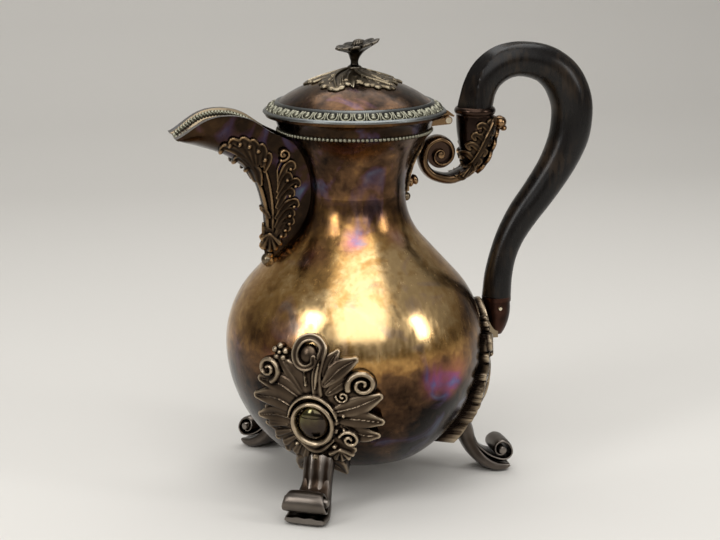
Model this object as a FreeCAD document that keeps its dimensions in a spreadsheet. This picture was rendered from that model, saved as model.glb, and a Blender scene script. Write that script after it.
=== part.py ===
import FreeCAD, Part
import math
import os
import Sketcher
from FreeCAD import Placement, Rotation, Vector

# Driving sizes in millimetres and degrees, and counts
SIZES = {
    "belly_radius": 69.3,
    "belly_height": 78.0,
    "bowl_arc": 72.0,
    "shoulder_arc": 53.0,
    "base_height": 18.0,
    "neck_radius": 27.05,
    "shoulder_run": 27.291,
    "neck_low_arc": 36.0,
    "neck_high_arc": 45.0,
    "neck_rise": 32.5,
    "axis_from_middle": 17.25,
    "wall": 1.2,
    "window_half": 5.0,
    "window_below": 8.0,
    "window_above": 18.0,
    "strainer_wall": 1.0,
    "strainer_lap": 2.5,
    "strainer_hole": 0.9,
    "collar_inset": 0.5,
    "collar_land": 2.2,
    "collar_height": 8.4,
    "collar_flare": 3.4,
    "collar_arc": 12.0,
    "beading": 1.12,
    "lid_gap": 0.3,
    "lid_overhang": 3.2,
    "lid_edge": 1.5,
    "lid_rest": 4.6,
    "border_overhang": 1.4,
    "border_edge": 1.0,
    "border_width": 7.2,
    "border_rise": 6.4,
    "border_crest": 1.3,
    "border_arc": 12.0,
    "egg_radius": 2.1,
    "egg_lift": 2.2,
    "egg_count": 40,
    "dome_arc": 67.0,
    "dome_wall": 1.1,
    "bezel_depth": 6.0,
    "bezel_gap": 0.6,
    "rosette_radius": 21.0,
    "rosette_height": 2.4,
    "petal_radius": 5.6,
    "petal_reach": 18.5,
    "petal_count": 8,
    "knop_radius": 4.4,
    "knop_height": 4.6,
    "stem_radius": 1.9,
    "stem_height": 8.4,
    "stem_ball": 4.2,
    "stud_radius": 1.6,
    "flower_lift": 2.0,
    "flower_disc": 8.4,
    "flower_thickness": 2.2,
    "flower_petal": 3.9,
    "flower_petal_reach": 8.0,
    "flower_petal_count": 8,
    "flower_button": 3.2,
    "flower_tilt": 10.0,
    "nut_radius": 4.5,
    "nut_height": 2.6,
    "hinge_out": 5.4,
    "hinge_drop": 3.2,
    "knuckle_radius": 2.2,
    "knuckle_length": 7.0,
    "knuckle_side": 4.0,
    "knuckle_gap": 0.35,
    "hinge_pin_radius": 1.2,
    "hinge_pin_head": 0.6,
    "running_gap": 0.05,
    "hinge_tab_width": 12.0,
    "hinge_tab_wall": 1.0,
    "spout_wall": 1.3,
    "lip_half": 17.5,
    "lip_band": 4.6,
    "lip_band_wall": 1.0,
    "lip_band_fit": 0.05,
    "leaf_wall": 1.7,
    "drop_radius": 3.6,
    "drop_stand": 1.0,
    "socket_out": 38.85,
    "socket_above_neck": 7.0,
    "socket_length": 30.0,
    "socket_radius": 10.0,
    "ferrule_height": 4.0,
    "ferrule_bulge": 0.8,
    "grip_end_radius": 9.6,
    "tenon_radius": 7.6,
    "tenon_length": 15.0,
    "grip_fit": 0.05,
    "scroll_width": 12.0,
    "scroll_band": 5.4,
    "scroll_eye": 3.2,
    "mount_wall": 2.2,
    "mount_half": 8.0,
    "mount_below_rim": 4.0,
    "mount_above_neck": 0.9,
    "mount_bead": 2.4,
    "leaf_width": 10.0,
    "low_socket_out": 10.1,
    "low_socket_above": 19.5,
    "low_socket_length": 21.0,
    "low_socket_radius": 8.0,
    "low_socket_rim": 2.4,
    "low_socket_room": 0.4,
    "low_tenon_radius": 5.2,
    "low_tenon_length": 11.0,
    "lug_width": 9.0,
    "handle_pin_radius": 1.3,
    "pin_head": 0.7,
    "foot_reach": 88.0,
    "foot_scroll": 6.0,
    "foot_sole": 12.0,
    "foot_width": 24.6,
    "leg_width": 15.4,
    "leg_joint": 30.0,
    "cartouche_half": 31.5,
    "cartouche_top": 95.0,
    "cartouche_low": 33.0,
    "cartouche_wall": 2.4,
    "cartouche_relief": 5.0,
    "cabochon_radius": 8.6,
    "cabochon_height": 51.0,
    "cabochon_standoff": 4.0,
    "cabochon_rise": 5.0,
}

# Places that follow from the sizes: the neck stands on the straight shoulder, the sockets on neck and belly.
# The neck's height is kept to a thousandth of a millimetre.
FOLLOWING = {
    "neck_across": "=neck_radius + neck_low_arc + shoulder_arc - belly_radius",
    "neck_above": "=sqrt((shoulder_arc + neck_low_arc)^2 + shoulder_run^2 - neck_across^2)",
    "neck_height": "=belly_height + round(1000 * neck_above) / 1000",
    "neck_top": "=neck_height + neck_rise",
    "socket_top": "=neck_top + socket_above_neck",
    "socket_across": "=neck_radius + socket_out",
    "low_socket_top": "=belly_height + low_socket_above",
}

doc = FreeCAD.newDocument("coffee_pot")
sheet = doc.addObject("Spreadsheet::Sheet", "sizes")
for row, (alias, value) in enumerate({**SIZES, **FOLLOWING}.items(), start=1):
    sheet.set(f"A{row}", alias)
    sheet.set(f"B{row}", str(value))
    sheet.setAlias(f"B{row}", alias)
doc.recompute()

UP = Vector(0, 0, 1)
SIDE = Vector(0, 1, 0)
FOOT_ANGLES = {"right": 0, "rear": 120, "front": -120}
nodes = []


def size(alias):
    """Value of one driving size."""
    return float(getattr(sheet, alias))


def number(formula):
    """Value of a formula written in driving sizes."""
    return float(sheet.evalExpression(str(formula)))


# Formulas that several pieces share
FOOT = "(sizes.neck_radius + sizes.neck_high_arc - sizes.collar_inset"
FOOT += " - sqrt(sizes.neck_high_arc^2 - (sizes.neck_top - sizes.neck_height)^2))"
LAND = "(sizes.neck_top + sizes.collar_land)"
BRIM = f"({FOOT} + sizes.collar_flare)"
COLLAR_TOP = "(sizes.neck_top + sizes.collar_height)"
LID_LOW = f"({COLLAR_TOP} + sizes.lid_gap)"
LID_OUT = f"({BRIM} + sizes.lid_overhang)"
BORDER_LOW = f"({LID_LOW} + sizes.lid_edge)"
BORDER_IN = f"({LID_OUT} - sizes.border_width)"
BORDER_TOP = f"({BORDER_LOW} + sizes.border_rise)"
BEZEL_OUT = f"({FOOT} - sizes.wall - sizes.bezel_gap)"
DOME_CENTRE = f"({BORDER_TOP} - sqrt(sizes.dome_arc^2 - {BORDER_IN}^2))"
DOME_TOP = f"({DOME_CENTRE} + sizes.dome_arc)"
STUD_HOLE = "(sizes.stud_radius + sizes.running_gap)"
ROSETTE_TOP = f"({DOME_TOP} + sizes.rosette_height)"
FLOWER_AT = f"({ROSETTE_TOP} + sizes.stem_height)"
HINGE_X = f"({BRIM} + sizes.hinge_out)"
HINGE_Z = f"({COLLAR_TOP} - sizes.hinge_drop)"
LOW_SOCKET_X = "(sizes.belly_radius + sizes.low_socket_out)"
GRIP_START = "(sizes.socket_top + sizes.ferrule_height)"


def on_dome(radius, across):
    """Height of a dome of this radius above one distance from the axis."""
    return f"({DOME_CENTRE} + sqrt(({radius})^2 - ({across})^2))"


def new_body(label):
    body = doc.addObject("PartDesign::Body", label)
    body.Label = label
    nodes.append(body)
    return body


def new_casting(label, shape):
    """A free-form casting, with its shape worked out from the driving sizes."""
    casting = doc.addObject("Part::Feature", label)
    casting.Label = label
    casting.Shape = shape
    nodes.append(casting)
    return casting


def origin_feature(body, role):
    return [feature for feature in body.Origin.OriginFeatures if feature.Role == role][0]


def new_sketch(body, name, role="XZ_Plane"):
    sketch = body.newObject("Sketcher::SketchObject", name)
    sketch.AttachmentSupport = (origin_feature(body, role), [""])
    sketch.MapMode = "FlatFace"
    return sketch


def pin_down(sketch, edge, end, across, up):
    """Hold one end of an edge at a place given by two formulas."""
    for kind, axis, formula in (("DistanceX", -2, across), ("DistanceY", -1, up)):
        if str(formula) == "0":
            sketch.addConstraint(Sketcher.Constraint("PointOnObject", edge, end, axis))
        else:
            held = sketch.addConstraint(Sketcher.Constraint(kind, -1, 1, edge, end, number(formula)))
            sketch.setExpression(f"Constraints[{held}]", str(formula))


def round_edge(start, finish, radius, side):
    """Arc from start to finish whose centre lies left (1) or right (-1) of the way there."""
    chord = finish - start
    half = chord.Length / 2
    away = math.sqrt(max(radius * radius - half * half, 0.0))
    left = Vector(-chord.y, chord.x, 0).normalize()
    centre = (start + finish) * 0.5 + left * (away * side)
    first = math.atan2(start.y - centre.y, start.x - centre.x)
    last = math.atan2(finish.y - centre.y, finish.x - centre.x)
    circle = Part.Circle(centre, UP, radius)
    if side > 0:
        return Part.ArcOfCircle(circle, first, last), (1, 2)
    return Part.ArcOfCircle(circle, last, first), (2, 1)


def outline(sketch, corners):
    """Closed outline. A corner is (across, up), or (across, up, radius, side) at the end of a round edge."""
    spots = [Vector(number(corner[0]), number(corner[1]), 0) for corner in corners]
    ends = []
    for place, corner in enumerate(corners):
        if len(corner) == 2:
            sketch.addGeometry(Part.LineSegment(spots[place - 1], spots[place]))
            ends.append((1, 2))
        else:
            edge, order = round_edge(spots[place - 1], spots[place], number(corner[2]), corner[3])
            sketch.addGeometry(edge)
            ends.append(order)
    for place, corner in enumerate(corners):
        following = (place + 1) % len(corners)
        meeting = Sketcher.Constraint("Coincident", place, ends[place][1], following, ends[following][0])
        sketch.addConstraint(meeting)
        pin_down(sketch, place, ends[place][1], corner[0], corner[1])
        if len(corner) == 4:
            bend = sketch.addConstraint(Sketcher.Constraint("Radius", place, number(corner[2])))
            sketch.setExpression(f"Constraints[{bend}]", str(corner[2]))


def ring_sketch(body, name, radius, across="0", up="0", role="XY_Plane"):
    """Circle held by its centre and its radius."""
    sketch = new_sketch(body, name, role)
    sketch.addGeometry(Part.Circle(Vector(number(across), number(up), 0), UP, number(radius)))
    bend = sketch.addConstraint(Sketcher.Constraint("Radius", 0, number(radius)))
    sketch.setExpression(f"Constraints[{bend}]", str(radius))
    pin_down(sketch, 0, 3, across, up)
    return sketch


def turn(body, name, corners, kind="PartDesign::Revolution"):
    """Turned feature about the body's own upright axis."""
    sketch = new_sketch(body, name + "_outline")
    outline(sketch, corners)
    feature = body.newObject(kind, name)
    feature.Profile = sketch
    feature.ReferenceAxis = (sketch, ["V_Axis"])
    feature.Angle = 360
    doc.recompute()
    return feature


def pad(body, name, sketch, length, both_ways=True):
    feature = body.newObject("PartDesign::Pad", name)
    feature.Profile = sketch
    feature.SideType = "Symmetric" if both_ways else "One side"
    feature.setExpression("Length", str(length))
    doc.recompute()
    return feature


def cut(body, name, sketch, length=None):
    """Cut to a length shared between both sides, or right through."""
    feature = body.newObject("PartDesign::Pocket", name)
    feature.Profile = sketch
    feature.SideType = "Symmetric"
    if length is None:
        feature.Type = "ThroughAll"
    else:
        feature.setExpression("Length", str(length))
    doc.recompute()
    return feature


def ball(body, name, radius, across, up, kind="PartDesign::AdditiveSphere"):
    feature = body.newObject(kind, name)
    feature.AttachmentSupport = (origin_feature(body, "XY_Plane"), [""])
    feature.MapMode = "FlatFace"
    feature.setExpression("Radius", radius)
    feature.setExpression("AttachmentOffset.Base.x", across)
    feature.setExpression("AttachmentOffset.Base.z", up)
    doc.recompute()
    return feature


def repeat_round(body, name, feature, count):
    pattern = body.newObject("PartDesign::PolarPattern", name)
    pattern.Originals = [feature]
    pattern.Axis = (origin_feature(body, "Z_Axis"), [""])
    pattern.Angle = 360
    pattern.setExpression("Occurrences", count)
    body.Tip = pattern
    doc.recompute()
    return pattern


def stand_at(body, across):
    """Move a turned body to an upright axis of its own."""
    body.setExpression("Placement.Base.x", across)
    doc.recompute()


def lay_across(body, across, up):
    """Turn a body's own upright axis to run from side to side."""
    body.Placement = Placement(Vector(0, 0, 0), Rotation(Vector(1, 0, 0), 90))
    body.setExpression("Placement.Base.x", across)
    body.setExpression("Placement.Base.z", up)
    doc.recompute()


# Outline of the pot: two belly arcs, a straight shoulder and two neck arcs that run into one another
def pot_points(extra=0.0):
    bowl = Vector(size("belly_radius") - size("bowl_arc"), size("belly_height"), 0)
    shoulder = Vector(size("belly_radius") - size("shoulder_arc"), size("belly_height"), 0)
    low = Vector(size("neck_radius") + size("neck_low_arc"), size("neck_height"), 0)
    high = Vector(size("neck_radius") + size("neck_high_arc"), size("neck_height"), 0)
    bowl_radius = size("bowl_arc") + extra
    high_radius = size("neck_high_arc") - extra
    between = low - shoulder
    reach = (size("shoulder_arc") + size("neck_low_arc")) / between.Length
    lean = math.atan2(between.y, between.x) - math.acos(min(reach, 1.0))
    slope = Vector(math.cos(lean), math.sin(lean), 0)
    drop = size("belly_height") - size("base_height")
    rise = size("neck_top") - size("neck_height")
    return {
        "base": Vector(bowl.x + math.sqrt(bowl_radius ** 2 - drop ** 2), size("base_height"), 0),
        "belly": Vector(size("belly_radius") + extra, size("belly_height"), 0),
        "shoulder_end": shoulder + slope * (size("shoulder_arc") + extra),
        "neck_start": low - slope * (size("neck_low_arc") - extra),
        "neck": Vector(size("neck_radius") + extra, size("neck_height"), 0),
        "mouth": Vector(high.x - math.sqrt(high_radius ** 2 - rise ** 2), size("neck_top"), 0),
        "bowl_centre": bowl,
        "shoulder_centre": shoulder,
        "low_centre": low,
        "high_centre": high,
    }


def upright(point):
    return Vector(point.x, 0, point.y)


def bent(start, finish, centre):
    """Short arc about a centre, in the upright plane."""
    radius = (start - centre).Length
    middle = centre + ((start + finish) * 0.5 - centre).normalize() * radius
    return Part.Arc(upright(start), upright(middle), upright(finish)).toShape()


def envelope(extra=0.0):
    """Solid filling the pot's outline, grown by extra all round."""
    spot = pot_points(extra)
    axis_low = Vector(0, spot["base"].y, 0)
    axis_high = Vector(0, spot["mouth"].y, 0)
    edges = [
        Part.makeLine(upright(axis_low), upright(spot["base"])),
        bent(spot["base"], spot["belly"], spot["bowl_centre"]),
        bent(spot["belly"], spot["shoulder_end"], spot["shoulder_centre"]),
        Part.makeLine(upright(spot["shoulder_end"]), upright(spot["neck_start"])),
        bent(spot["neck_start"], spot["neck"], spot["low_centre"]),
        bent(spot["neck"], spot["mouth"], spot["high_centre"]),
        Part.makeLine(upright(spot["mouth"]), upright(axis_high)),
        Part.makeLine(upright(axis_high), upright(axis_low)),
    ]
    half_section = Part.Face(Part.Wire(edges))
    half_section.rotate(Vector(0, 0, 0), UP, 60)
    return half_section.revolve(Vector(0, 0, 0), UP, 360)


def bowl_radius_at(height):
    """Outside radius of the pot at a height below the belly."""
    drop = size("belly_height") - height
    return size("belly_radius") - size("bowl_arc") + math.sqrt(size("bowl_arc") ** 2 - drop ** 2)


def pot_radius_at(height):
    """Outside radius of the pot at any height."""
    ray = Part.makeLine(Vector(0, 0, height), Vector(2 * size("belly_radius"), 0, height))
    return envelope().common(ray).BoundBox.XMax


def spline(points, closed=False):
    curve = Part.BSplineCurve()
    curve.interpolate([Vector(point) for point in points], PeriodicFlag=closed)
    return curve.toShape()


def slab(edges, direction):
    """Flat plate from a closed outline, thick along a direction."""
    return Part.Face(Part.Wire(edges)).extrude(direction)


def box(low, high):
    span = Vector(high) - Vector(low)
    return Part.makeBox(span.x, span.y, span.z, Vector(low))


# Raised pot body, one sheet from base to mouth, with a pouring window behind the spout
def make_pot_body():
    body = new_body("pot_body")
    sketch = new_sketch(body, "pot_outline")
    spot = pot_points()
    axis_low = Vector(0, spot["base"].y, 0)
    axis_high = Vector(0, spot["mouth"].y, 0)
    sketch.addGeometry([
        Part.LineSegment(axis_low, spot["base"]),
        round_edge(spot["base"], spot["belly"], size("bowl_arc"), 1)[0],
        round_edge(spot["belly"], spot["shoulder_end"], size("shoulder_arc"), 1)[0],
        Part.LineSegment(spot["shoulder_end"], spot["neck_start"]),
        round_edge(spot["neck_start"], spot["neck"], size("neck_low_arc"), -1)[0],
        round_edge(spot["neck"], spot["mouth"], size("neck_high_arc"), -1)[0],
        Part.LineSegment(spot["mouth"], axis_high),
        Part.LineSegment(axis_high, axis_low),
    ])
    for one, one_end, other, other_end in (
        (0, 2, 1, 1), (1, 2, 2, 1), (4, 1, 5, 2), (5, 1, 6, 1), (6, 2, 7, 1), (7, 2, 0, 1)
    ):
        sketch.addConstraint(Sketcher.Constraint("Coincident", one, one_end, other, other_end))
    sketch.addConstraint(Sketcher.Constraint("Tangent", 2, 2, 3, 1))
    sketch.addConstraint(Sketcher.Constraint("Tangent", 3, 2, 4, 2))
    sketch.addConstraint(Sketcher.Constraint("Horizontal", 0))
    sketch.addConstraint(Sketcher.Constraint("Horizontal", 6))
    sketch.addConstraint(Sketcher.Constraint("PointOnObject", 7, 1, -2))
    sketch.addConstraint(Sketcher.Constraint("PointOnObject", 7, 2, -2))
    for kind, edge, end, alias in (
        ("DistanceY", 0, 2, "base_height"),
        ("DistanceX", 1, 2, "belly_radius"),
        ("DistanceY", 1, 2, "belly_height"),
        ("DistanceY", 1, 3, "belly_height"),
        ("DistanceY", 2, 3, "belly_height"),
        ("DistanceX", 4, 1, "neck_radius"),
        ("DistanceY", 4, 1, "neck_height"),
        ("DistanceY", 4, 3, "neck_height"),
        ("DistanceY", 5, 3, "neck_height"),
        ("DistanceY", 6, 1, "neck_top"),
    ):
        held = sketch.addConstraint(Sketcher.Constraint(kind, -1, 1, edge, end, size(alias)))
        sketch.setExpression(f"Constraints[{held}]", "sizes." + alias)
    for edge, alias in ((1, "bowl_arc"), (2, "shoulder_arc"), (4, "neck_low_arc"), (5, "neck_high_arc")):
        bend = sketch.addConstraint(Sketcher.Constraint("Radius", edge, size(alias)))
        sketch.setExpression(f"Constraints[{bend}]", "sizes." + alias)
    raised = body.newObject("PartDesign::Revolution", "raised_shape")
    raised.Profile = sketch
    raised.ReferenceAxis = (sketch, ["V_Axis"])
    raised.Angle = 360
    doc.recompute()
    faces = raised.Shape.Faces
    top = max(range(len(faces)), key=lambda place: faces[place].BoundBox.ZMin)
    sheet_metal = body.newObject("PartDesign::Thickness", "sheet_metal")
    sheet_metal.Base = (raised, [f"Face{top + 1}"])
    sheet_metal.setExpression("Value", "sizes.wall")
    sheet_metal.Reversed = True
    doc.recompute()
    window = new_sketch(body, "window_outline", "YZ_Plane")
    low = "sizes.neck_height - sizes.window_below"
    high = "sizes.neck_height + sizes.window_above"
    outline(window, [
        ("-sizes.window_half", low),
        ("sizes.window_half", low),
        ("sizes.window_half", high),
        ("-sizes.window_half", high),
    ])
    opening = body.newObject("PartDesign::Pocket", "pouring_window")
    opening.Profile = window
    opening.SideType = "One side"
    opening.setExpression("Length", "sizes.belly_radius")
    opening.Reversed = False
    doc.recompute()
    return body


# Perforated plate that lines the neck behind the spout
def make_strainer():
    half = size("window_half") + size("strainer_lap")
    low = size("neck_height") - size("window_below") - size("strainer_lap")
    high = size("neck_height") + size("window_above") + size("strainer_lap")
    sheet_part = envelope(-size("wall")).cut(envelope(-size("wall") - size("strainer_wall")))
    plate = sheet_part.common(box((-size("belly_radius"), -half, low), (0, half, high)))
    pitch = 3 * size("strainer_hole")
    rows = int((high - low - 2 * size("strainer_lap")) / pitch)
    holes = []
    for row in range(rows):
        for column in (-1, 0, 1):
            spot = Vector(-size("belly_radius"), column * pitch, low + size("strainer_lap") + (row + 0.5) * pitch)
            holes.append(Part.makeCylinder(size("strainer_hole"), size("belly_radius"), spot, Vector(1, 0, 0)))
    return new_casting("strainer_plate", plate.cut(Part.makeCompound(holes)))


# Flared collar at the mouth, with the beading wire laid round its foot
def make_collar():
    collar = new_body("neck_collar")
    turn(collar, "collar", [
        (f"{FOOT} - sizes.wall", "sizes.neck_top"),
        (FOOT, "sizes.neck_top"),
        (FOOT, LAND),
        (BRIM, COLLAR_TOP, "sizes.collar_arc", -1),
        (f"{BRIM} - sizes.wall", COLLAR_TOP),
        (f"{FOOT} - sizes.wall", LAND, "sizes.collar_arc", 1),
    ])
    beading = new_body("neck_beading")
    turn(beading, "wire", [
        (FOOT, "sizes.neck_top"),
        (f"{FOOT} + sizes.beading", "sizes.neck_top + sizes.collar_land / 2", "sizes.beading", 1),
        (FOOT, LAND, "sizes.beading", 1),
    ])


# Domed lid sheet with the flat rest that meets the collar
def make_lid_dome():
    body = new_body("lid_dome")
    inner = "(sizes.dome_arc - sizes.dome_wall)"
    rest = f"({LID_OUT} - sizes.lid_rest)"
    turn(body, "dome", [
        (rest, LID_LOW),
        (LID_OUT, LID_LOW),
        (LID_OUT, BORDER_LOW),
        (BORDER_IN, BORDER_TOP),
        (STUD_HOLE, on_dome("sizes.dome_arc", STUD_HOLE), "sizes.dome_arc", 1),
        (STUD_HOLE, on_dome(inner, STUD_HOLE)),
        (BEZEL_OUT, on_dome(inner, BEZEL_OUT), inner, -1),
        (rest, f"{LID_LOW} + sizes.lid_edge"),
    ])


# Cast border of the lid: a rounded ring with a row of eggs
def make_lid_border():
    body = new_body("lid_border")
    out = f"({LID_OUT} + sizes.border_overhang)"
    turn(body, "ring", [
        (LID_OUT, BORDER_LOW),
        (out, BORDER_LOW),
        (out, f"{BORDER_LOW} + sizes.border_edge"),
        (f"{BORDER_IN} + sizes.border_crest", f"{BORDER_TOP} + sizes.border_crest", "sizes.border_arc", 1),
        (BORDER_IN, BORDER_TOP),
    ])
    slope = "sqrt(sizes.border_width^2 + sizes.border_rise^2)"
    across = f"({LID_OUT} + {BORDER_IN}) / 2 + sizes.egg_lift * sizes.border_rise / {slope}"
    up = f"({BORDER_LOW} + {BORDER_TOP}) / 2 + sizes.egg_lift * sizes.border_width / {slope}"
    egg = ball(body, "egg", "sizes.egg_radius", across, up)
    repeat_round(body, "eggs", egg, "sizes.egg_count")


# Plain ring under the lid that drops into the collar
def make_lid_bezel():
    body = new_body("lid_bezel")
    inner = "(sizes.dome_arc - sizes.dome_wall)"
    bore = f"({BEZEL_OUT} - sizes.wall)"
    turn(body, "bezel", [
        (bore, f"{LID_LOW} - sizes.bezel_depth"),
        (BEZEL_OUT, f"{LID_LOW} - sizes.bezel_depth"),
        (BEZEL_OUT, on_dome(inner, BEZEL_OUT)),
        (bore, on_dome(inner, bore), inner, 1),
    ])


# Scalloped leaf rosette on the crown of the lid
def make_lid_rosette():
    body = new_body("lid_rosette")
    raised = "(sizes.dome_arc + sizes.rosette_height)"
    shoulder = "(sizes.rosette_radius - sizes.rosette_height)"
    turn(body, "calyx", [
        (STUD_HOLE, on_dome(raised, STUD_HOLE)),
        (STUD_HOLE, on_dome("sizes.dome_arc", STUD_HOLE)),
        ("sizes.rosette_radius", on_dome("sizes.dome_arc", "sizes.rosette_radius"), "sizes.dome_arc", -1),
        (shoulder, on_dome(raised, shoulder)),
    ])
    petal = ball(body, "petal", "sizes.petal_radius", "sizes.petal_reach",
                 on_dome("sizes.dome_arc", "sizes.petal_reach") + " - sizes.petal_radius / 2")
    repeat_round(body, "petals", petal, "sizes.petal_count")
    wide = f"({BORDER_IN})"
    turn(body, "lid_seat", [
        ("0", f"{BORDER_TOP} - sizes.dome_arc / 4"),
        (wide, f"{BORDER_TOP} - sizes.dome_arc / 4"),
        (wide, on_dome("sizes.dome_arc", wide)),
        ("0", DOME_TOP, "sizes.dome_arc", 1),
    ], "PartDesign::Groove")


# Finial: stem with knop and stud, tilted flower on its ball end, and the nut under the lid
def make_finial():
    stem = new_body("finial_stem")
    stud_low = f"{DOME_TOP} - sizes.dome_wall - sizes.nut_height - sizes.dome_wall"
    turn(stem, "stem", [
        ("0", stud_low),
        ("sizes.stud_radius", stud_low),
        ("sizes.stud_radius", ROSETTE_TOP),
        ("sizes.knop_radius * 0.7", ROSETTE_TOP),
        ("sizes.knop_radius", f"{ROSETTE_TOP} + sizes.knop_height * 0.4", "sizes.knop_radius", 1),
        ("sizes.stem_radius", f"{ROSETTE_TOP} + sizes.knop_height", "sizes.knop_radius", 1),
        ("sizes.stem_ball", FLOWER_AT, "sizes.stem_ball * 1.2", -1),
        ("0", f"{FLOWER_AT} + sizes.stem_ball", "sizes.stem_ball", 1),
    ])
    flower = new_body("finial_flower")
    flower.setExpression("Placement.Base.z", FLOWER_AT)
    disc_outline = ring_sketch(flower, "disc_outline", "sizes.flower_disc")
    disc_outline.setExpression("AttachmentOffset.Base.z", "sizes.flower_lift")
    pad(flower, "disc", disc_outline, "sizes.flower_thickness", False)
    petal_outline = ring_sketch(flower, "petal_outline", "sizes.flower_petal", "sizes.flower_petal_reach")
    petal_outline.setExpression("AttachmentOffset.Base.z", "sizes.flower_lift")
    petal = pad(flower, "petal", petal_outline, "sizes.flower_thickness", False)
    repeat_round(flower, "petals", petal, "sizes.flower_petal_count")
    ball(flower, "button", "sizes.flower_button", "0 mm",
         "sizes.flower_lift + sizes.flower_thickness + sizes.flower_button / 4")
    ball(flower, "cup", "sizes.stem_ball", "0 mm", "0 mm", "PartDesign::SubtractiveSphere")
    flower.Placement.Rotation = Rotation(SIDE, -size("flower_tilt"))
    doc.recompute()
    nut = new_body("finial_nut")
    inner = "(sizes.dome_arc - sizes.dome_wall)"
    nut_low = f"{DOME_TOP} - sizes.dome_wall - sizes.nut_height"
    thread = "(sizes.stud_radius + sizes.grip_fit)"
    turn(nut, "nut", [
        (thread, nut_low),
        ("sizes.nut_radius", nut_low),
        ("sizes.nut_radius", on_dome(inner, "sizes.nut_radius")),
        (thread, on_dome(inner, thread), inner, 1),
    ])


# Hinge: leaf under the lid, bracket on the collar and the pin that joins them
def make_hinge():
    leaf = new_body("lid_hinge_leaf")
    knuckle = ring_sketch(leaf, "knuckle_outline", "sizes.knuckle_radius", HINGE_X, HINGE_Z, "XZ_Plane")
    pad(leaf, "knuckle", knuckle, "sizes.knuckle_length")
    web = new_sketch(leaf, "web_outline")
    tab_low = f"({LID_LOW} - sizes.hinge_tab_wall)"
    outline(web, [
        (f"{HINGE_X} - sizes.knuckle_radius * 0.7", HINGE_Z),
        (f"{HINGE_X} + sizes.knuckle_radius * 0.7", HINGE_Z),
        (f"{HINGE_X} + sizes.knuckle_radius * 0.7", tab_low),
        (f"{HINGE_X} - sizes.knuckle_radius * 1.2", tab_low),
    ])
    pad(leaf, "web", web, "sizes.knuckle_length")
    tab = new_sketch(leaf, "tab_outline")
    edge = f"({LID_OUT} + sizes.border_overhang + 0.3)"
    outline(tab, [
        (f"{BRIM} + sizes.border_overhang", tab_low),
        (f"{edge} + 1", tab_low),
        (f"{HINGE_X} + sizes.knuckle_radius + 1.2", f"{HINGE_Z} + 1.4"),
        (f"{HINGE_X} + sizes.knuckle_radius + 1.6", f"{HINGE_Z} + 2.2"),
        (f"{edge} + 0.6", f"{LID_LOW} + sizes.lid_edge"),
        (edge, f"{LID_LOW} + sizes.lid_edge"),
        (edge, LID_LOW),
        (f"{BRIM} + sizes.border_overhang", LID_LOW),
    ])
    pad(leaf, "tab", tab, "sizes.hinge_tab_width")
    loose = "sizes.hinge_pin_radius + sizes.running_gap"
    cut(leaf, "pin_hole", ring_sketch(leaf, "pin_hole_outline", loose, HINGE_X, HINGE_Z, "XZ_Plane"))

    bracket = new_body("hinge_bracket")
    span = "(sizes.knuckle_length + 2 * sizes.knuckle_gap + 2 * sizes.knuckle_side)"
    ends = ring_sketch(bracket, "knuckle_outline", "sizes.knuckle_radius", HINGE_X, HINGE_Z, "XZ_Plane")
    pad(bracket, "knuckles", ends, span)
    arm = new_sketch(bracket, "arm_outline")
    outline(arm, [
        (f"{FOOT} - sizes.wall / 2", f"{LAND} + 0.1"),
        (HINGE_X, f"{HINGE_Z} - sizes.knuckle_radius * 0.98"),
        (HINGE_X, f"{HINGE_Z} + sizes.knuckle_radius * 0.6"),
        (f"{FOOT} - sizes.wall / 2", f"{HINGE_Z} + sizes.knuckle_radius * 0.3"),
    ])
    pad(bracket, "arms", arm, span)
    gap = new_sketch(bracket, "gap_outline")
    near = f"({HINGE_X} - sizes.knuckle_radius - 2 * sizes.knuckle_gap)"
    outline(gap, [
        (near, f"{HINGE_Z} - 2 * sizes.knuckle_radius"),
        (f"{HINGE_X} + 2 * sizes.knuckle_radius", f"{HINGE_Z} - 2 * sizes.knuckle_radius"),
        (f"{HINGE_X} + 2 * sizes.knuckle_radius", f"{HINGE_Z} + 2 * sizes.knuckle_radius"),
        (near, f"{HINGE_Z} + 2 * sizes.knuckle_radius"),
    ])
    cut(bracket, "leaf_gap", gap, "sizes.knuckle_length + 2 * sizes.knuckle_gap")
    snug = "sizes.hinge_pin_radius + sizes.grip_fit / 2"
    cut(bracket, "pin_hole", ring_sketch(bracket, "pin_hole_outline", snug, HINGE_X, HINGE_Z, "XZ_Plane"))
    turn(bracket, "collar_seat", [
        ("0", "sizes.neck_top"),
        (FOOT, "sizes.neck_top"),
        (FOOT, LAND),
        (BRIM, COLLAR_TOP, "sizes.collar_arc", -1),
        ("0", COLLAR_TOP),
    ], "PartDesign::Groove")

    pin = new_body("hinge_pin")
    half = f"({span} / 2)"
    head = f"({half} + sizes.hinge_pin_head)"
    wide = "(sizes.hinge_pin_radius * 1.35)"
    turn(pin, "pin", [
        ("0", f"-{head}"),
        (wide, f"-{head}"),
        (wide, f"-{half}"),
        ("sizes.hinge_pin_radius", f"-{half}"),
        ("sizes.hinge_pin_radius", half),
        (wide, half),
        (wide, head),
        ("0", head),
    ])
    lay_across(pin, HINGE_X, HINGE_Z)


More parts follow.
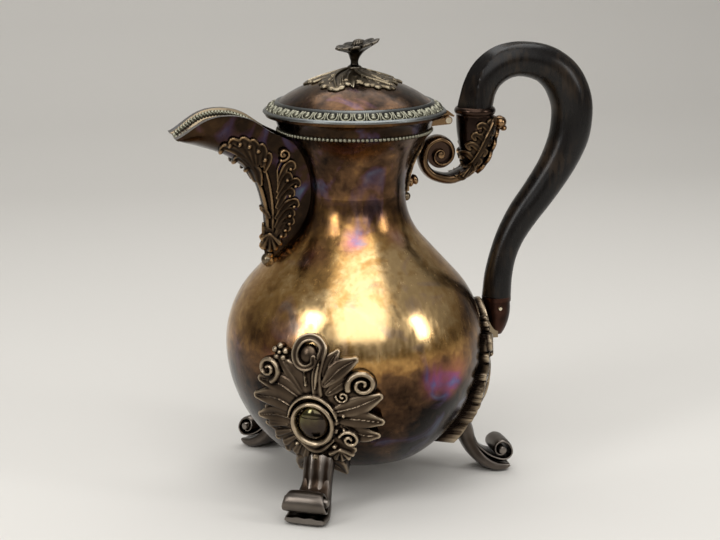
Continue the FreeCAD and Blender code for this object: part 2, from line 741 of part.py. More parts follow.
# Spout sections from the pouring lip round to the foot: keel and rim as (out from the neck, below its top),
# then half the width at the rim as a share of the lip's half width
SPOUT_SECTIONS = [
    ((65.0, 1.6), (70.0, -0.8), 0.93),
    ((58.0, 4.6), (61.5, -6.0), 1.0),
    ((50.0, 7.2), (52.0, -11.2), 1.04),
    ((42.0, 10.6), (41.0, -12.4), 1.02),
    ((35.5, 15.0), (30.0, -9.6), 0.97),
    ((29.5, 21.0), (20.0, -3.0), 0.9),
    ((25.0, 30.5), (4.0, 6.0), 0.74),
    ((22.4, 41.0), (-2.0, 26.0), 0.56),
    ((21.5, 50.0), (-3.0, 42.0), 0.44),
    ((22.2, 58.0), (-2.0, 56.0), 0.33),
    ((21.2, 65.0), (2.0, 67.0), 0.2),
]
LIP_SECTIONS = 6


def spout_place(pair):
    """Place in the middle plane from a distance out from the neck and one below its top."""
    return Vector(-size("neck_radius") - pair[0], 0, size("neck_top") - pair[1])


def spout_section(section, grow, longer):
    """Half-round cross-section: keel, rim ends and the points between, grown outwards."""
    keel = spout_place(section[0])
    rim = spout_place(section[1])
    along = rim - keel
    way = along.normalize() if along.Length else UP
    length = (rim - keel).Length + grow + longer
    half = section[2] * size("lip_half") + grow
    start = keel - way * grow
    points = []
    for step in range(-6, 7):
        turned = step / 6 * math.pi / 2
        points.append(start + way * (length * (1 - math.cos(turned))) + SIDE * (half * math.sin(turned)))
    return points


def spout_fill(grow=0.0, longer=0.0):
    """Solid filling the spout's outside, grown by grow."""
    wires = []
    for section in SPOUT_SECTIONS:
        points = spout_section(section, grow, longer)
        wires.append(Part.Wire([spline(points), Part.makeLine(points[-1], points[0])]))
    return Part.makeLoft(wires, True, False)


def mouth_keep_out():
    reach = number(FOOT) + size("beading") + 0.1
    return Part.makeCylinder(reach, size("collar_height") * 3, Vector(0, 0, size("neck_top") - 0.1))


# Spout raised from sheet, open along its top, with border strips, leaf mounts and a drop under it
LEAF_OUTLINE = [
    (22.0, 60.0), (24.6, 41.0), (31.0, 21.5), (43.0, 9.5), (39.5, 4.0), (31.0, 2.8), (27.0, 8.0),
    (19.5, 5.2), (14.0, 8.0), (11.5, 20.0), (12.2, 34.0), (14.5, 45.0), (13.0, 52.0),
]


def make_spout():
    outside = spout_fill()
    inside = spout_fill(-size("spout_wall"), size("lip_half"))
    pot = envelope()
    shell = outside.cut(inside).cut(pot).cut(mouth_keep_out())
    spout = new_casting("spout", largest(shell))
    thick = spout_fill(size("leaf_wall")).cut(outside).cut(pot)
    leaf_points = [spout_place(pair) for pair in LEAF_OUTLINE]
    for name, way in (("left", -1), ("right", 1)):
        new_casting(f"spout_border_{name}", largest(lip_lining(way)))
        tool = slab([spline(leaf_points, True)], SIDE * (way * 2 * size("lip_half")))
        tool.translate(SIDE * (way * size("spout_wall") / 2))
        new_casting(f"spout_leaf_{name}", largest(thick.common(tool)))
    low = spout_place(SPOUT_SECTIONS[-1][0])
    drop_at = low.z - size("drop_radius") * 0.6
    drop = Part.makeSphere(size("drop_radius"), Vector(-pot_radius_at(drop_at) - size("drop_stand"), 0, drop_at))
    new_casting("spout_drop", largest(drop.cut(pot).cut(outside)))


def lip_lining(way):
    """Thin lining of the spout, kept only along one rim."""
    rim = []
    hem = []
    for section in SPOUT_SECTIONS[:LIP_SECTIONS]:
        top = spout_place(section[1])
        down = spout_place(section[0]) - top
        rim.append(top - down * 0.2)
        hem.append(top + down * min(size("lip_band") / down.Length, 0.6))
    past_tip = Vector(-size("spout_wall"), 0, -size("spout_wall") / 3)
    rim[0] += past_tip
    hem[0] += past_tip
    hem.reverse()
    edges = [spline(rim), Part.makeLine(rim[-1], hem[0]), spline(hem), Part.makeLine(hem[-1], rim[0])]
    band = slab(edges, SIDE * (way * 2 * size("lip_half"))).translated(SIDE * (way * size("lip_band")))
    wall = -size("spout_wall") - size("lip_band_fit")
    lined = spout_fill(wall, size("lip_half")).common(spout_fill())
    hollow = spout_fill(wall - size("lip_band_wall"), size("lip_half"))
    return lined.cut(hollow).cut(mouth_keep_out()).cut(envelope()).common(band)


def largest(shape):
    return max(shape.Solids, key=lambda solid: solid.Volume)


# Upper handle socket with its ferrule
def make_upper_socket():
    socket = new_body("handle_socket")
    low = "(sizes.socket_top - sizes.socket_length)"
    bore = "(sizes.tenon_radius + sizes.grip_fit)"
    bore_low = "(sizes.socket_top - sizes.tenon_length - sizes.wall)"
    turn(socket, "cup", [
        ("0", low),
        ("sizes.socket_radius * 0.35", low),
        ("sizes.socket_radius * 0.86", f"{low} + sizes.socket_length / 2", "sizes.socket_length", 1),
        ("sizes.socket_radius", "sizes.socket_top", "sizes.socket_length * 2", 1),
        (bore, "sizes.socket_top"),
        (bore, bore_low),
        ("0", bore_low),
    ])
    pin_at = "(sizes.socket_top - sizes.tenon_length / 2)"
    hole = ring_sketch(socket, "pin_hole_outline", "sizes.handle_pin_radius", "0", pin_at, "XZ_Plane")
    cut(socket, "pin_hole", hole)
    stand_at(socket, "sizes.socket_across")
    ferrule = new_body("handle_ferrule")
    inner = "(sizes.grip_end_radius + sizes.grip_fit)"
    top = "(sizes.socket_top + sizes.ferrule_height)"
    turn(ferrule, "ring", [
        (inner, "sizes.socket_top"),
        ("sizes.socket_radius", "sizes.socket_top"),
        ("sizes.socket_radius", top, "sizes.ferrule_height / 2 + sizes.ferrule_bulge / 2", 1),
        (inner, top),
    ])
    stand_at(ferrule, "sizes.socket_across")
    make_handle_pin("handle_pin_upper", "sizes.socket_radius", "sizes.socket_across", pin_at)
    return socket


def make_handle_pin(label, half, across, up):
    pin = new_body(label)
    head = f"({half} + sizes.pin_head)"
    fit = "(sizes.handle_pin_radius - sizes.grip_fit / 2)"
    turn(pin, "pin", [
        ("0", f"-{head}"),
        (f"{fit} * 0.7", f"-{head}"),
        (fit, f"-{half}"),
        (fit, half),
        (f"{fit} * 0.7", head),
        ("0", head),
    ])
    lay_across(pin, across, up)


# Cast scroll that carries the socket off the neck, its leaf, and the mount on the neck
SCROLL_TURNS = [(-110, 4.4), (0, 7.4), (90, 10.6), (180, 10.2), (270, 14.6), (300, 17.4)]


def make_scroll(socket):
    eye = Vector(size("socket_across") - 19.5, 0, size("socket_top") - 21.0)
    outer = []
    inner = []
    for angle, radius in SCROLL_TURNS:
        way = Vector(math.cos(math.radians(angle)), 0, math.sin(math.radians(angle)))
        outer.append(eye + way * radius)
        inner.append(eye + way * max(radius - size("scroll_band"), size("scroll_eye") * 0.3))
    root = Vector(size("socket_across") - 1.0, 0, size("socket_top") - size("socket_length") + 2.0)
    outer.append(root + Vector(1.5, 0, -3.5))
    inner.append(root + Vector(-3.0, 0, 2.5))
    half = SIDE * (size("scroll_width") / 2)
    edges = [
        spline(outer),
        Part.makeLine(outer[-1], inner[-1]),
        spline(inner),
        Part.makeLine(inner[0], outer[0]),
    ]
    band = slab(edges, half * 2).translated(half * -1)
    boss = Part.makeCylinder(size("scroll_eye"), size("scroll_width") + 1.6,
                             eye - half - SIDE * 0.8, SIDE)
    lug = box((0, -size("lug_width") / 2, eye.z - 12.0), (eye.x - 7.5, size("lug_width") / 2, eye.z + 2.0))
    mount = make_neck_mount()
    scroll = band.fuse([boss, lug]).cut([socket.Shape, mount.Shape, envelope()])
    new_casting("handle_scroll", largest(scroll.removeSplitter()))
    make_handle_leaf(socket)


def make_neck_mount():
    half = size("mount_half")
    top = size("neck_top") - size("mount_below_rim")
    low = size("neck_height") + size("mount_above_neck")
    tall = top - low
    middle = (top + low) / 2
    points = [(0, 0, top), (0, half, top - tall * 0.25), (0, half * 0.6, middle), (0, half * 0.75, low + tall * 0.22),
              (0, 0, low), (0, -half * 0.75, low + tall * 0.22), (0, -half * 0.6, middle),
              (0, -half, top - tall * 0.25)]
    tool = slab([spline(points, True)], Vector(size("belly_radius"), 0, 0))
    pot = envelope()
    plate = tool.common(envelope(size("mount_wall"))).cut(pot)
    bead_at = Vector(size("neck_radius") + size("mount_bead") * 0.5, 0, low - size("mount_bead") * 1.9)
    new_casting("handle_neck_bead", largest(Part.makeSphere(size("mount_bead"), bead_at).cut(pot)))
    return new_casting("handle_neck_mount", largest(plate))


def make_handle_leaf(socket):
    across = size("socket_across")
    top = size("socket_top")
    outer = [Vector(across + dx, 0, top - dz) for dx, dz in
             ((-1.0, 33.6), (4.4, 25.4), (9.4, 13.6), (13.0, 6.6), (16.6, 5.4), (15.4, 1.4), (11.6, 3.2))]
    back = [outer[-1], Vector(across + 5.0, 0, top - 9.0), outer[0]]
    half = SIDE * (size("leaf_width") / 2)
    leaf = slab([spline(outer), Part.makeLine(back[0], back[1]), Part.makeLine(back[1], back[2])], half * 2)
    new_casting("handle_leaf", largest(leaf.translated(half * -1).cut(socket.Shape).cut(scroll_shape())))


def scroll_shape():
    return [node for node in nodes if node.Label == "handle_scroll"][0].Shape


# Lower handle socket with its lug on the rear foot's cartouche
def make_lower_socket(cartouche):
    socket = new_body("handle_low_socket")
    low = "(sizes.low_socket_top - sizes.low_socket_length)"
    bore = "(sizes.low_tenon_radius + sizes.grip_fit)"
    bore_low = "(sizes.low_socket_top - sizes.low_tenon_length - sizes.wall)"
    rim_low = "(sizes.low_socket_top - sizes.low_socket_rim)"
    turn(socket, "cup", [
        ("0", low),
        ("sizes.low_socket_radius * 0.4", low),
        ("sizes.low_socket_radius * 0.92", rim_low, "sizes.low_socket_length * 1.3", 1),
        ("sizes.low_socket_radius", rim_low),
        ("sizes.low_socket_radius", "sizes.low_socket_top"),
        (bore, "sizes.low_socket_top"),
        (bore, bore_low),
        ("0", bore_low),
    ])
    pin_at = "(sizes.low_socket_top - sizes.low_tenon_length / 2)"
    hole = ring_sketch(socket, "pin_hole_outline", "sizes.handle_pin_radius", "0", pin_at, "XZ_Plane")
    cut(socket, "pin_hole", hole)
    stand_at(socket, LOW_SOCKET_X)
    make_handle_pin("handle_pin_lower", "sizes.low_socket_radius", LOW_SOCKET_X, pin_at)
    half = size("lug_width") / 2
    top = size("low_socket_top") - size("low_tenon_length") - 2 * size("wall")
    lug = box((0, -half, top - size("lug_width")), (number(LOW_SOCKET_X), half, top))
    new_casting("handle_low_lug", outermost(lug.cut([socket.Shape, cartouche.Shape, envelope()])))
    return socket


def outermost(shape):
    return max(shape.Solids, key=lambda solid: solid.BoundBox.XMax)


# Turned and bent wooden grip: stations as (out, up, radius) from its upper end and from its lower end
GRIP_UPPER = [
    (0.0, 0.0, 9.6), (0.5, 3.0, 9.4), (2.4, 10.2, 9.3), (6.4, 17.2, 9.5), (13.0, 22.4, 9.6),
    (20.1, 24.6, 9.4), (26.6, 24.8, 9.4), (34.5, 23.4, 9.8), (41.6, 20.2, 10.3), (48.3, 14.0, 11.0),
    (52.7, 5.4, 11.3), (54.4, -3.1, 11.2), (53.6, -14.4, 11.0),
]
GRIP_LOWER = [
    (37.1, 80.5, 10.4), (31.6, 69.5, 9.6), (23.0, 56.7, 9.0), (14.6, 45.5, 8.5), (7.8, 34.2, 7.7),
    (3.4, 22.9, 7.3), (0.9, 11.4, 7.6), (0.0, 0.0, 7.9),
]


def make_grip():
    stations = []
    for out, up, radius in GRIP_UPPER:
        stations.append((Vector(size("socket_across") + out, 0, number(GRIP_START) + up), radius))
    for out, up, radius in GRIP_LOWER:
        stations.append((Vector(number(LOW_SOCKET_X) + out, 0, size("low_socket_top") + up), radius))
    wires = []
    for place, (spot, radius) in enumerate(stations):
        ahead = stations[min(place + 1, len(stations) - 1)][0]
        behind = stations[max(place - 1, 0)][0]
        way = ahead - behind
        if place in (0, len(stations) - 1):
            way = UP
        wires.append(Part.Wire(Part.makeCircle(radius, spot, way)))
    wood = Part.makeLoft(wires, True, False)
    upper = stations[0][0]
    lower = stations[-1][0]
    length = size("tenon_length") + size("ferrule_height")
    tenon = Part.makeCylinder(size("tenon_radius"), length, upper - UP * length)
    seat = Part.makeCylinder(size("grip_end_radius"), size("ferrule_height"), upper - UP * size("ferrule_height"))
    low_tenon = Part.makeCylinder(size("low_tenon_radius"), size("low_tenon_length"),
                                  lower - UP * size("low_tenon_length"))
    wood = wood.fuse([tenon, seat, low_tenon])
    for across, up in (
        (size("socket_across"), size("socket_top") - size("tenon_length") / 2),
        (number(LOW_SOCKET_X), size("low_socket_top") - size("low_tenon_length") / 2),
    ):
        span = 4 * size("socket_radius")
        wood = wood.cut(Part.makeCylinder(size("handle_pin_radius"), span, Vector(across, -span / 2, up), SIDE))
    new_casting("handle", largest(wood.removeSplitter()))


# One foot: leg with its rolled scroll, cartouche on the belly and the cabochon set in it
def leg_shape():
    joint = bowl_radius_at(size("leg_joint"))
    reach = size("foot_reach")
    scroll = size("foot_scroll")
    eye = Vector(reach - scroll, 0, scroll + 5.3)
    low = size("leg_joint")
    front = [
        Vector(joint - 1.0, 0, low + 14.0), Vector(joint + 14.8, 0, low + 2.0), Vector(joint + 13.6, 0, low - 7.0),
        Vector(eye.x - scroll * 2.0, 0, eye.z + 2.6), Vector(eye.x - scroll * 0.95, 0, eye.z - 2.0),
    ]
    toe = [front[-1], eye, Vector(reach - 0.8, 0, 4.2), Vector(reach - 3.2, 0, 0)]
    heel = Vector(reach - 3.2 - size("foot_sole"), 0, 0)
    back = [
        heel, Vector(heel.x - 5.4, 0, 4.0), Vector(heel.x - 12.0, 0, 12.4),
        Vector(joint + 4.0, 0, low - 7.6), Vector(joint - 4.0, 0, low - 3.0), Vector(joint - 14.0, 0, low + 4.0),
    ]
    edges = [spline(front)]
    corners = toe + [heel]
    for start, finish in zip(corners, corners[1:]):
        edges.append(Part.makeLine(start, finish))
    edges.append(spline(back))
    edges.append(Part.makeLine(back[-1], front[0]))
    half = SIDE * (size("foot_width") / 2)
    side_view = slab(edges, half * 2).translated(half * -1)
    roll = Part.makeCylinder(scroll, size("foot_width"), eye - half, SIDE)
    body = side_view.fuse(roll)
    wide = size("foot_width") / 2
    narrow = size("leg_width") / 2
    right = [
        Vector(0, wide * 0.86, -1.0), Vector(0, wide, eye.z - 2.0), Vector(0, wide * 0.82, eye.z + 3.6),
        Vector(0, narrow * 1.06, eye.z + 7.6), Vector(0, narrow, low - 6.0), Vector(0, narrow * 1.25, low + 16.0),
    ]
    left = [Vector(0, -point.y, point.z) for point in right]
    left.reverse()
    front_view = slab([
        spline(right),
        Part.makeLine(right[-1], left[0]),
        spline(left),
        Part.makeLine(left[-1], right[0]),
    ], Vector(reach * 1.2, 0, 0))
    shaped = body.common(front_view)
    knob = Part.makeCylinder(scroll * 0.35, size("foot_width") + 1.0, eye - half - SIDE * 0.5, SIDE)
    return shaped.fuse(knob)


CARTOUCHE_OUTLINE = [
    (0.0, 1.0), (0.38, 0.9), (0.64, 0.81), (0.8, 0.75), (0.98, 0.5), (0.98, 0.3), (0.64, 0.07), (0.3, 0.0),
    (-0.3, 0.0), (-0.66, 0.06), (-0.95, 0.24), (-1.0, 0.44), (-0.88, 0.75), (-0.62, 0.91), (-0.35, 0.93),
]
CARTOUCHE_SCROLLS = [(-0.08, 0.83, 11.5), (0.74, 0.6, 8.5), (-0.76, 0.68, 7.0), (0.46, 0.22, 8.0), (-0.66, 0.3, 8.0)]


def cartouche_shape(cabochon_hole):
    half = size("cartouche_half")
    low = size("cartouche_low")
    tall = size("cartouche_top") - low
    far = Vector(size("foot_reach"), 0, 0)
    points = [Vector(0, share * half, low + lift * tall) for share, lift in CARTOUCHE_OUTLINE]
    tool = slab([spline(points, True)], far)
    pot = envelope()
    plate = envelope(size("cartouche_wall")).cut(pot).common(tool)
    bosses = []
    for share, lift, radius in CARTOUCHE_SCROLLS:
        spot = Vector(0, share * half, low + lift * tall)
        bosses.append(Part.makeCylinder(radius, far.x, spot, far))
    ring_at = Vector(0, 0, size("cabochon_height"))
    bosses.append(Part.makeCylinder(size("cabochon_radius") * 1.4, far.x, ring_at, far))
    raised = envelope(size("cartouche_relief")).cut(pot).common(Part.makeCompound(bosses).common(tool))
    shape = plate
    for piece in raised.Solids:
        shape = shape.fuse(piece)
    return shape.cut(cabochon_hole).removeSplitter()


def cabochon_parts():
    """The polished oval and the room it takes up in the cartouche."""
    seat = bowl_radius_at(size("cabochon_height")) + size("cabochon_standoff")
    radius = size("cabochon_radius")
    rise = size("cabochon_rise")
    spot = Vector(seat, 0, size("cabochon_height"))
    way = Vector(1, 0, 0)
    dome_radius = (radius ** 2 + rise ** 2) / (2 * rise)
    dome = Part.makeSphere(dome_radius, spot + way * (rise - dome_radius))
    stone = dome.common(Part.makeCylinder(radius, rise, spot, way))
    room = Part.makeCylinder(radius, 4 * radius, spot, way)
    return stone, room


def make_feet():
    stone, room = cabochon_parts()
    pot = envelope()
    cartouche = cartouche_shape(room)
    leg = largest(leg_shape().cut([pot, cartouche]))
    under_handle = None
    for name, angle in FOOT_ANGLES.items():
        for label, shape in (("leg", leg), ("cartouche", largest(cartouche)), ("cabochon", stone)):
            node = new_casting(f"foot_{label}_{name}", shape.copy())
            node.Placement = Placement(Vector(0, 0, 0), Rotation(UP, angle))
            if label == "cartouche" and angle == 0:
                node.Shape = largest(cartouche.cut(socket_room()))
                under_handle = node
    return under_handle


def socket_room():
    """Notch that lets the handle's lower socket stand in the cartouche below it."""
    room = size("low_socket_room")
    tall = size("low_socket_length") + room
    low = Vector(number(LOW_SOCKET_X), 0, size("low_socket_top") - tall)
    return Part.makeCylinder(size("low_socket_radius") + room, tall, low)


make_pot_body()
make_strainer()
make_collar()
make_lid_dome()
make_lid_border()
make_lid_bezel()
make_lid_rosette()
make_finial()
make_hinge()
make_spout()
make_scroll(make_upper_socket())
make_lower_socket(make_feet())
make_grip()
doc.recompute()

# Every piece is checked and written to its own file, with the origin under the middle of the pot's length
os.makedirs("parts", exist_ok=True)
for item in doc.Objects:
    if "Invalid" in item.State or "Error" in item.State:
        raise RuntimeError(f"{item.Label} did not build: {item.State}")
to_middle = Vector(-size("axis_from_middle"), 0, 0)
for node in nodes:
    if not node.Shape.isValid() or len(node.Shape.Solids) != 1:
        raise RuntimeError(f"{node.Label} is not one sound solid")
    node.Shape.translated(to_middle).exportStep(f"parts/{node.Label}.step")
    print(node.Label, round(node.Shape.Volume, 1))
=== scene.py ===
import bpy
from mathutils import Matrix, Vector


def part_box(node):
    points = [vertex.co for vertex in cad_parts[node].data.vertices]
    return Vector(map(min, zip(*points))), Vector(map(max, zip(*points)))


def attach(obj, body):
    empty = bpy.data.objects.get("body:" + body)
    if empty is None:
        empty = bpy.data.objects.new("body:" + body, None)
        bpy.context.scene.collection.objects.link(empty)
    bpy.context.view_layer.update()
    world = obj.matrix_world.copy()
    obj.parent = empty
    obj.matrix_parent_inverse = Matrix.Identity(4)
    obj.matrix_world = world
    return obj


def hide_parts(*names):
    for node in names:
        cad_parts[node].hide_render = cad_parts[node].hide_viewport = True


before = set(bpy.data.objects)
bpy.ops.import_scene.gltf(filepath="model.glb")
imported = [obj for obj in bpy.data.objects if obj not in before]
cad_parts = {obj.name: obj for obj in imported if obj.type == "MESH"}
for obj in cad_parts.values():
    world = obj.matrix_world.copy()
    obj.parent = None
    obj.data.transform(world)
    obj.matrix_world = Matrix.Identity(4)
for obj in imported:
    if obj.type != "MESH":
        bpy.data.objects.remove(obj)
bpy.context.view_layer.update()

from copy import copy
import math

import bmesh
import bpy
import numpy as np
from mathutils import Matrix, Vector
from mathutils.bvhtree import BVHTree

pot_low, pot_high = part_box("pot_body")
pot_axis = Vector(((pot_low[0] + pot_high[0]) / 2, 0, 0))


# The set: a pale paper floor that sweeps up behind the pot, in a light grey room with soft lamps.
# The camera stands where the photograph was taken from, a metre away and a little above the lid.
MM = 0.001
photo_width = 720
focal_pixels = 1966
camera_reach = 1030 * MM
camera_height = 345 * MM
camera_turn = math.radians(-12.4)
aim_height = 115.7 * MM
aim_shift = 2.9 * MM
paper_half = 2.5
paper_drop = 0.2 * MM
room_strength = 0.5
lamp_aim = 120 * MM


def srgb(code):
    """Linear colour from an sRGB hex code."""
    parts = [int(code[place:place + 2], 16) / 255 for place in (1, 3, 5)]
    linear = [part / 12.92 if part <= 0.04045 else ((part + 0.055) / 1.055) ** 2.4 for part in parts]
    return (*linear, 1.0)


def add(tree, kind, inputs=None, stops=None, **settings):
    """Add a node with its settings, and fill its inputs with values, sockets or a node's first output."""
    made = tree.nodes.new(kind)
    for name, value in settings.items():
        setattr(made, name, value)
    for place, (position, code) in enumerate(stops or []):
        steps = made.color_ramp.elements
        step = steps[place] if place < 2 else steps.new(position)
        step.position = position
        step.color = srgb(code)
    for name, value in (inputs or {}).items():
        if isinstance(value, bpy.types.Node):
            value = value.outputs[0]
        if isinstance(value, bpy.types.NodeSocket):
            tree.links.new(value, made.inputs[name])
        else:
            made.inputs[name].default_value = value
    return made


def new_material(name):
    material = bpy.data.materials.new(name)
    material.use_nodes = True
    material.node_tree.nodes.clear()
    return material, material.node_tree


camera = bpy.data.objects.new("camera", bpy.data.cameras.new("camera"))
bpy.context.scene.collection.objects.link(camera)
bpy.context.scene.camera = camera
bpy.context.scene.view_settings.view_transform = "Standard"
camera.data.sensor_width = 36
camera.data.sensor_fit = "HORIZONTAL"
camera.data.lens = focal_pixels / photo_width * camera.data.sensor_width
camera.data.clip_end = 20
camera.location = pot_axis + Vector((
    camera_reach * math.sin(camera_turn), -camera_reach * math.cos(camera_turn), camera_height))
aim = pot_axis + Vector((aim_shift * math.cos(camera_turn), aim_shift * math.sin(camera_turn), aim_height))
camera.rotation_euler = (aim - camera.location).to_track_quat("-Z", "Y").to_euler()

paper, tree = new_material("pale_seamless_paper")
surface = add(tree, "ShaderNodeBsdfPrincipled", {"Base Color": srgb("#d9d6d0"), "Roughness": 0.85})
add(tree, "ShaderNodeOutputMaterial", {"Surface": surface})
sweep = [(-1.6, 0.0), (0.9, 0.0), (1.15, 0.03), (1.36, 0.12), (1.5, 0.3), (1.55, 0.6), (1.55, 2.2)]
floor_mesh = bpy.data.meshes.new("paper_sweep")
floor_mesh.from_pydata(
    [(side, out, up - paper_drop) for side in (-paper_half, paper_half) for out, up in sweep], [],
    [(place, place + len(sweep), place + len(sweep) + 1, place + 1) for place in range(len(sweep) - 1)])
for polygon in floor_mesh.polygons:
    polygon.use_smooth = True
floor_mesh.materials.append(paper)
floor = bpy.data.objects.new("paper_sweep", floor_mesh)
bpy.context.scene.collection.objects.link(floor)

room = bpy.data.worlds.new("light_grey_room")
bpy.context.scene.world = room
room.use_nodes = True
room.node_tree.nodes.clear()
looking = add(room.node_tree, "ShaderNodeTexCoord")
heights = add(room.node_tree, "ShaderNodeSeparateXYZ", {"Vector": looking.outputs["Generated"]})
wall_tone = add(room.node_tree, "ShaderNodeValToRGB", {"Fac": heights.outputs["Z"]},
                stops=[(0.0, "#8f8c88"), (0.55, "#c4c2c0"), (0.25, "#a5a29f"), (1.0, "#d2d2d2")])
room_light = add(room.node_tree, "ShaderNodeBackground", {"Color": wall_tone, "Strength": room_strength})
add(room.node_tree, "ShaderNodeOutputWorld", {"Surface": room_light})

lamps = {
    "soft_box_front": ((-0.12, -0.95, 1.15), (1.2, 1.6), 13),
    "window_left": ((-0.95, -0.6, 0.7), (0.3, 0.7), 5),
    "window_right": ((0.95, -0.75, 0.62), (0.22, 0.5), 3),
    "top_sheet": ((0.1, 0.35, 1.25), (1.0, 0.8), 7),
}
for name, (spot, span, power) in lamps.items():
    lamp = bpy.data.objects.new(name, bpy.data.lights.new(name, "AREA"))
    bpy.context.scene.collection.objects.link(lamp)
    lamp.data.shape = "RECTANGLE"
    lamp.data.size, lamp.data.size_y = span
    lamp.data.energy = power
    lamp.location = spot
    facing = pot_axis + Vector((0, 0, lamp_aim)) - lamp.location
    lamp.rotation_euler = facing.to_track_quat("-Z", "Y").to_euler()


# Pot body, lid dome, collar and spout: sheet silver raised over stakes and planished, then left to tarnish.
# A thin sulphide film gives it the golden brown colour, with rose, violet and steel-blue patches where it is
# thicker. On the body the film is painted paler over the middle of the belly as a painted highlight, and
# darker low down, round the neck and on both sides as painted shade. The spout and the collar get darker
# tones as painted shade.
film_patch = 46 * MM
film_mottle = 13 * MM
film_fleck = 4 * MM
film_swings = ((film_patch, 0.3), (film_mottle, 0.17), (film_fleck, 0.1))
film_stain = 27 * MM
depth_span = 200 * MM
hammer_mark = 16 * MM
hammer_depth = 0.8 * MM
scratch_run = 2.5 * MM


def field_spot(tree, place, field, spot, reach, amount):
    """Raise or lower a field round one spot of the surface, given from the pot's axis: painted highlight and
    painted shade in the body's film, and the strength of the stains.
    """
    away = add(tree, "ShaderNodeVectorMath", {0: place, 1: pot_axis + Vector(spot)}, operation="DISTANCE")
    near = add(tree, "ShaderNodeMapRange", {
        "Value": away.outputs["Value"], "From Min": 0.0, "From Max": reach, "To Min": amount, "To Max": 0.0,
    }, interpolation_type="SMOOTHSTEP")
    return add(tree, "ShaderNodeMath", {0: field, 1: near}, operation="ADD")


def raised_silver(name, film_and_painted_light_by_height, spots, stained, tones):
    """Tarnished sheet silver, its film given by a depth for each height, spots and coloured stains; on the
    body the depths and spots are painted highlight and painted shade.
    """
    material, tree = new_material(name)
    place = add(tree, "ShaderNodeTexCoord").outputs["Object"]
    height = add(tree, "ShaderNodeSeparateXYZ", {"Vector": place}).outputs["Z"]
    share = add(tree, "ShaderNodeMath", {0: height, 1: 1 / depth_span}, operation="MULTIPLY")
    field = add(tree, "ShaderNodeValToRGB", {"Fac": share}, stops=film_and_painted_light_by_height)
    for grain, amount in film_swings:
        cloud = add(tree, "ShaderNodeTexNoise", {"Vector": place, "Scale": 1 / grain, "Detail": 4.0,
                                                 "Distortion": 0.6})
        swing = add(tree, "ShaderNodeMapRange", {"Value": cloud, "From Min": 0.25, "From Max": 0.75,
                                                 "To Min": -amount, "To Max": amount})
        field = add(tree, "ShaderNodeMath", {0: field, 1: swing}, operation="ADD")
    for spot, reach, amount in spots:
        field = field_spot(tree, place, field, spot, reach, amount)
    film_and_painted_light = add(tree, "ShaderNodeValToRGB", {"Fac": field}, stops=tones)
    hue = add(tree, "ShaderNodeTexNoise", {"Vector": place, "Scale": 1 / film_stain, "Detail": 3.0,
                                           "Distortion": 1.2})
    stain = add(tree, "ShaderNodeValToRGB", {"Fac": hue}, stops=stain_colours)
    strength = add(tree, "ShaderNodeMapRange", {"Value": hue, "From Min": 0.56, "From Max": 0.72,
                                                "To Min": 0.0, "To Max": 0.3})
    for spot, reach, amount in stained:
        strength = field_spot(tree, place, strength, spot, reach, amount)
    tinted = add(tree, "ShaderNodeMixRGB", {"Fac": strength, "Color1": film_and_painted_light, "Color2": stain}, use_clamp=True)
    drawn = add(tree, "ShaderNodeMapping", {"Vector": place, "Scale": (1.0, 1.0, 0.12)})
    rub = add(tree, "ShaderNodeTexNoise", {"Vector": drawn, "Scale": 1 / scratch_run, "Detail": 4.0})
    rough = add(tree, "ShaderNodeMapRange", {"Value": rub, "From Min": 0.3, "From Max": 0.75,
                                             "To Min": 0.14, "To Max": 0.3})
    dents = add(tree, "ShaderNodeTexNoise", {"Vector": place, "Scale": 1 / hammer_mark, "Detail": 1.0})
    bump = add(tree, "ShaderNodeBump", {"Height": dents, "Strength": 0.22, "Distance": hammer_depth})
    surface = add(tree, "ShaderNodeBsdfPrincipled", {
        "Base Color": tinted, "Metallic": 1.0, "Roughness": rough, "Normal": bump})
    add(tree, "ShaderNodeOutputMaterial", {"Surface": surface})
    return material


film_tones = [(0.0, "#dcb983"), (0.2, "#bb9157"), (0.42, "#8a663d"), (0.58, "#654a32"), (0.78, "#412f21"),
              (1.0, "#140f0b")]
stain_colours = [(0.3, "#b07a46"), (0.46, "#a8665f"), (0.54, "#a85a86"), (0.62, "#77659a"), (0.72, "#6f8aa6"),
                 (0.85, "#7f9a86")]
# Film depth by height on the body: thin and pale over the middle of the belly as a painted highlight, thick
# and dark low down and round the neck as painted shade.
body_painted_light_by_height = [(0.1, "#f4f4f4"), (0.95, "#dcdcdc"), (0.28, "#efefef"), (0.38, "#c0c0c0"), (0.47, "#646464"),
               (0.6, "#565656"), (0.66, "#707070"), (0.74, "#b8b8b8"), (0.83, "#d8d8d8")]
# Painted light spots on the body's film: thinner and paler at the front of the belly as a painted highlight,
# thicker and darker on the left and right sides as painted shade.
body_painted_light_spots = [
    ((0.012, -0.066, 0.098), 34 * MM, -0.3),
    ((-0.014, -0.064, 0.104), 28 * MM, -0.16),
    ((-0.062, -0.030, 0.080), 36 * MM, 0.16),
    ((0.066, -0.026, 0.090), 52 * MM, 0.42),
]
body_stains = [
    ((0.030, -0.062, 0.070), 14 * MM, 0.55),
    ((0.043, -0.054, 0.072), 13 * MM, 0.8),
    ((0.040, -0.056, 0.062), 9 * MM, 0.5),
    ((-0.008, -0.034, 0.138), 11 * MM, 0.6),
    ((0.018, -0.033, 0.141), 11 * MM, 0.65),
    ((-0.050, -0.045, 0.090), 16 * MM, 0.3),
    ((-0.026, -0.028, 0.128), 12 * MM, 0.3),
]
lid_depths = [(0.0, "#dadada"), (1.0, "#dadada")]
spout_depths = [(0.0, "#c8c8c8"), (1.0, "#c8c8c8")]
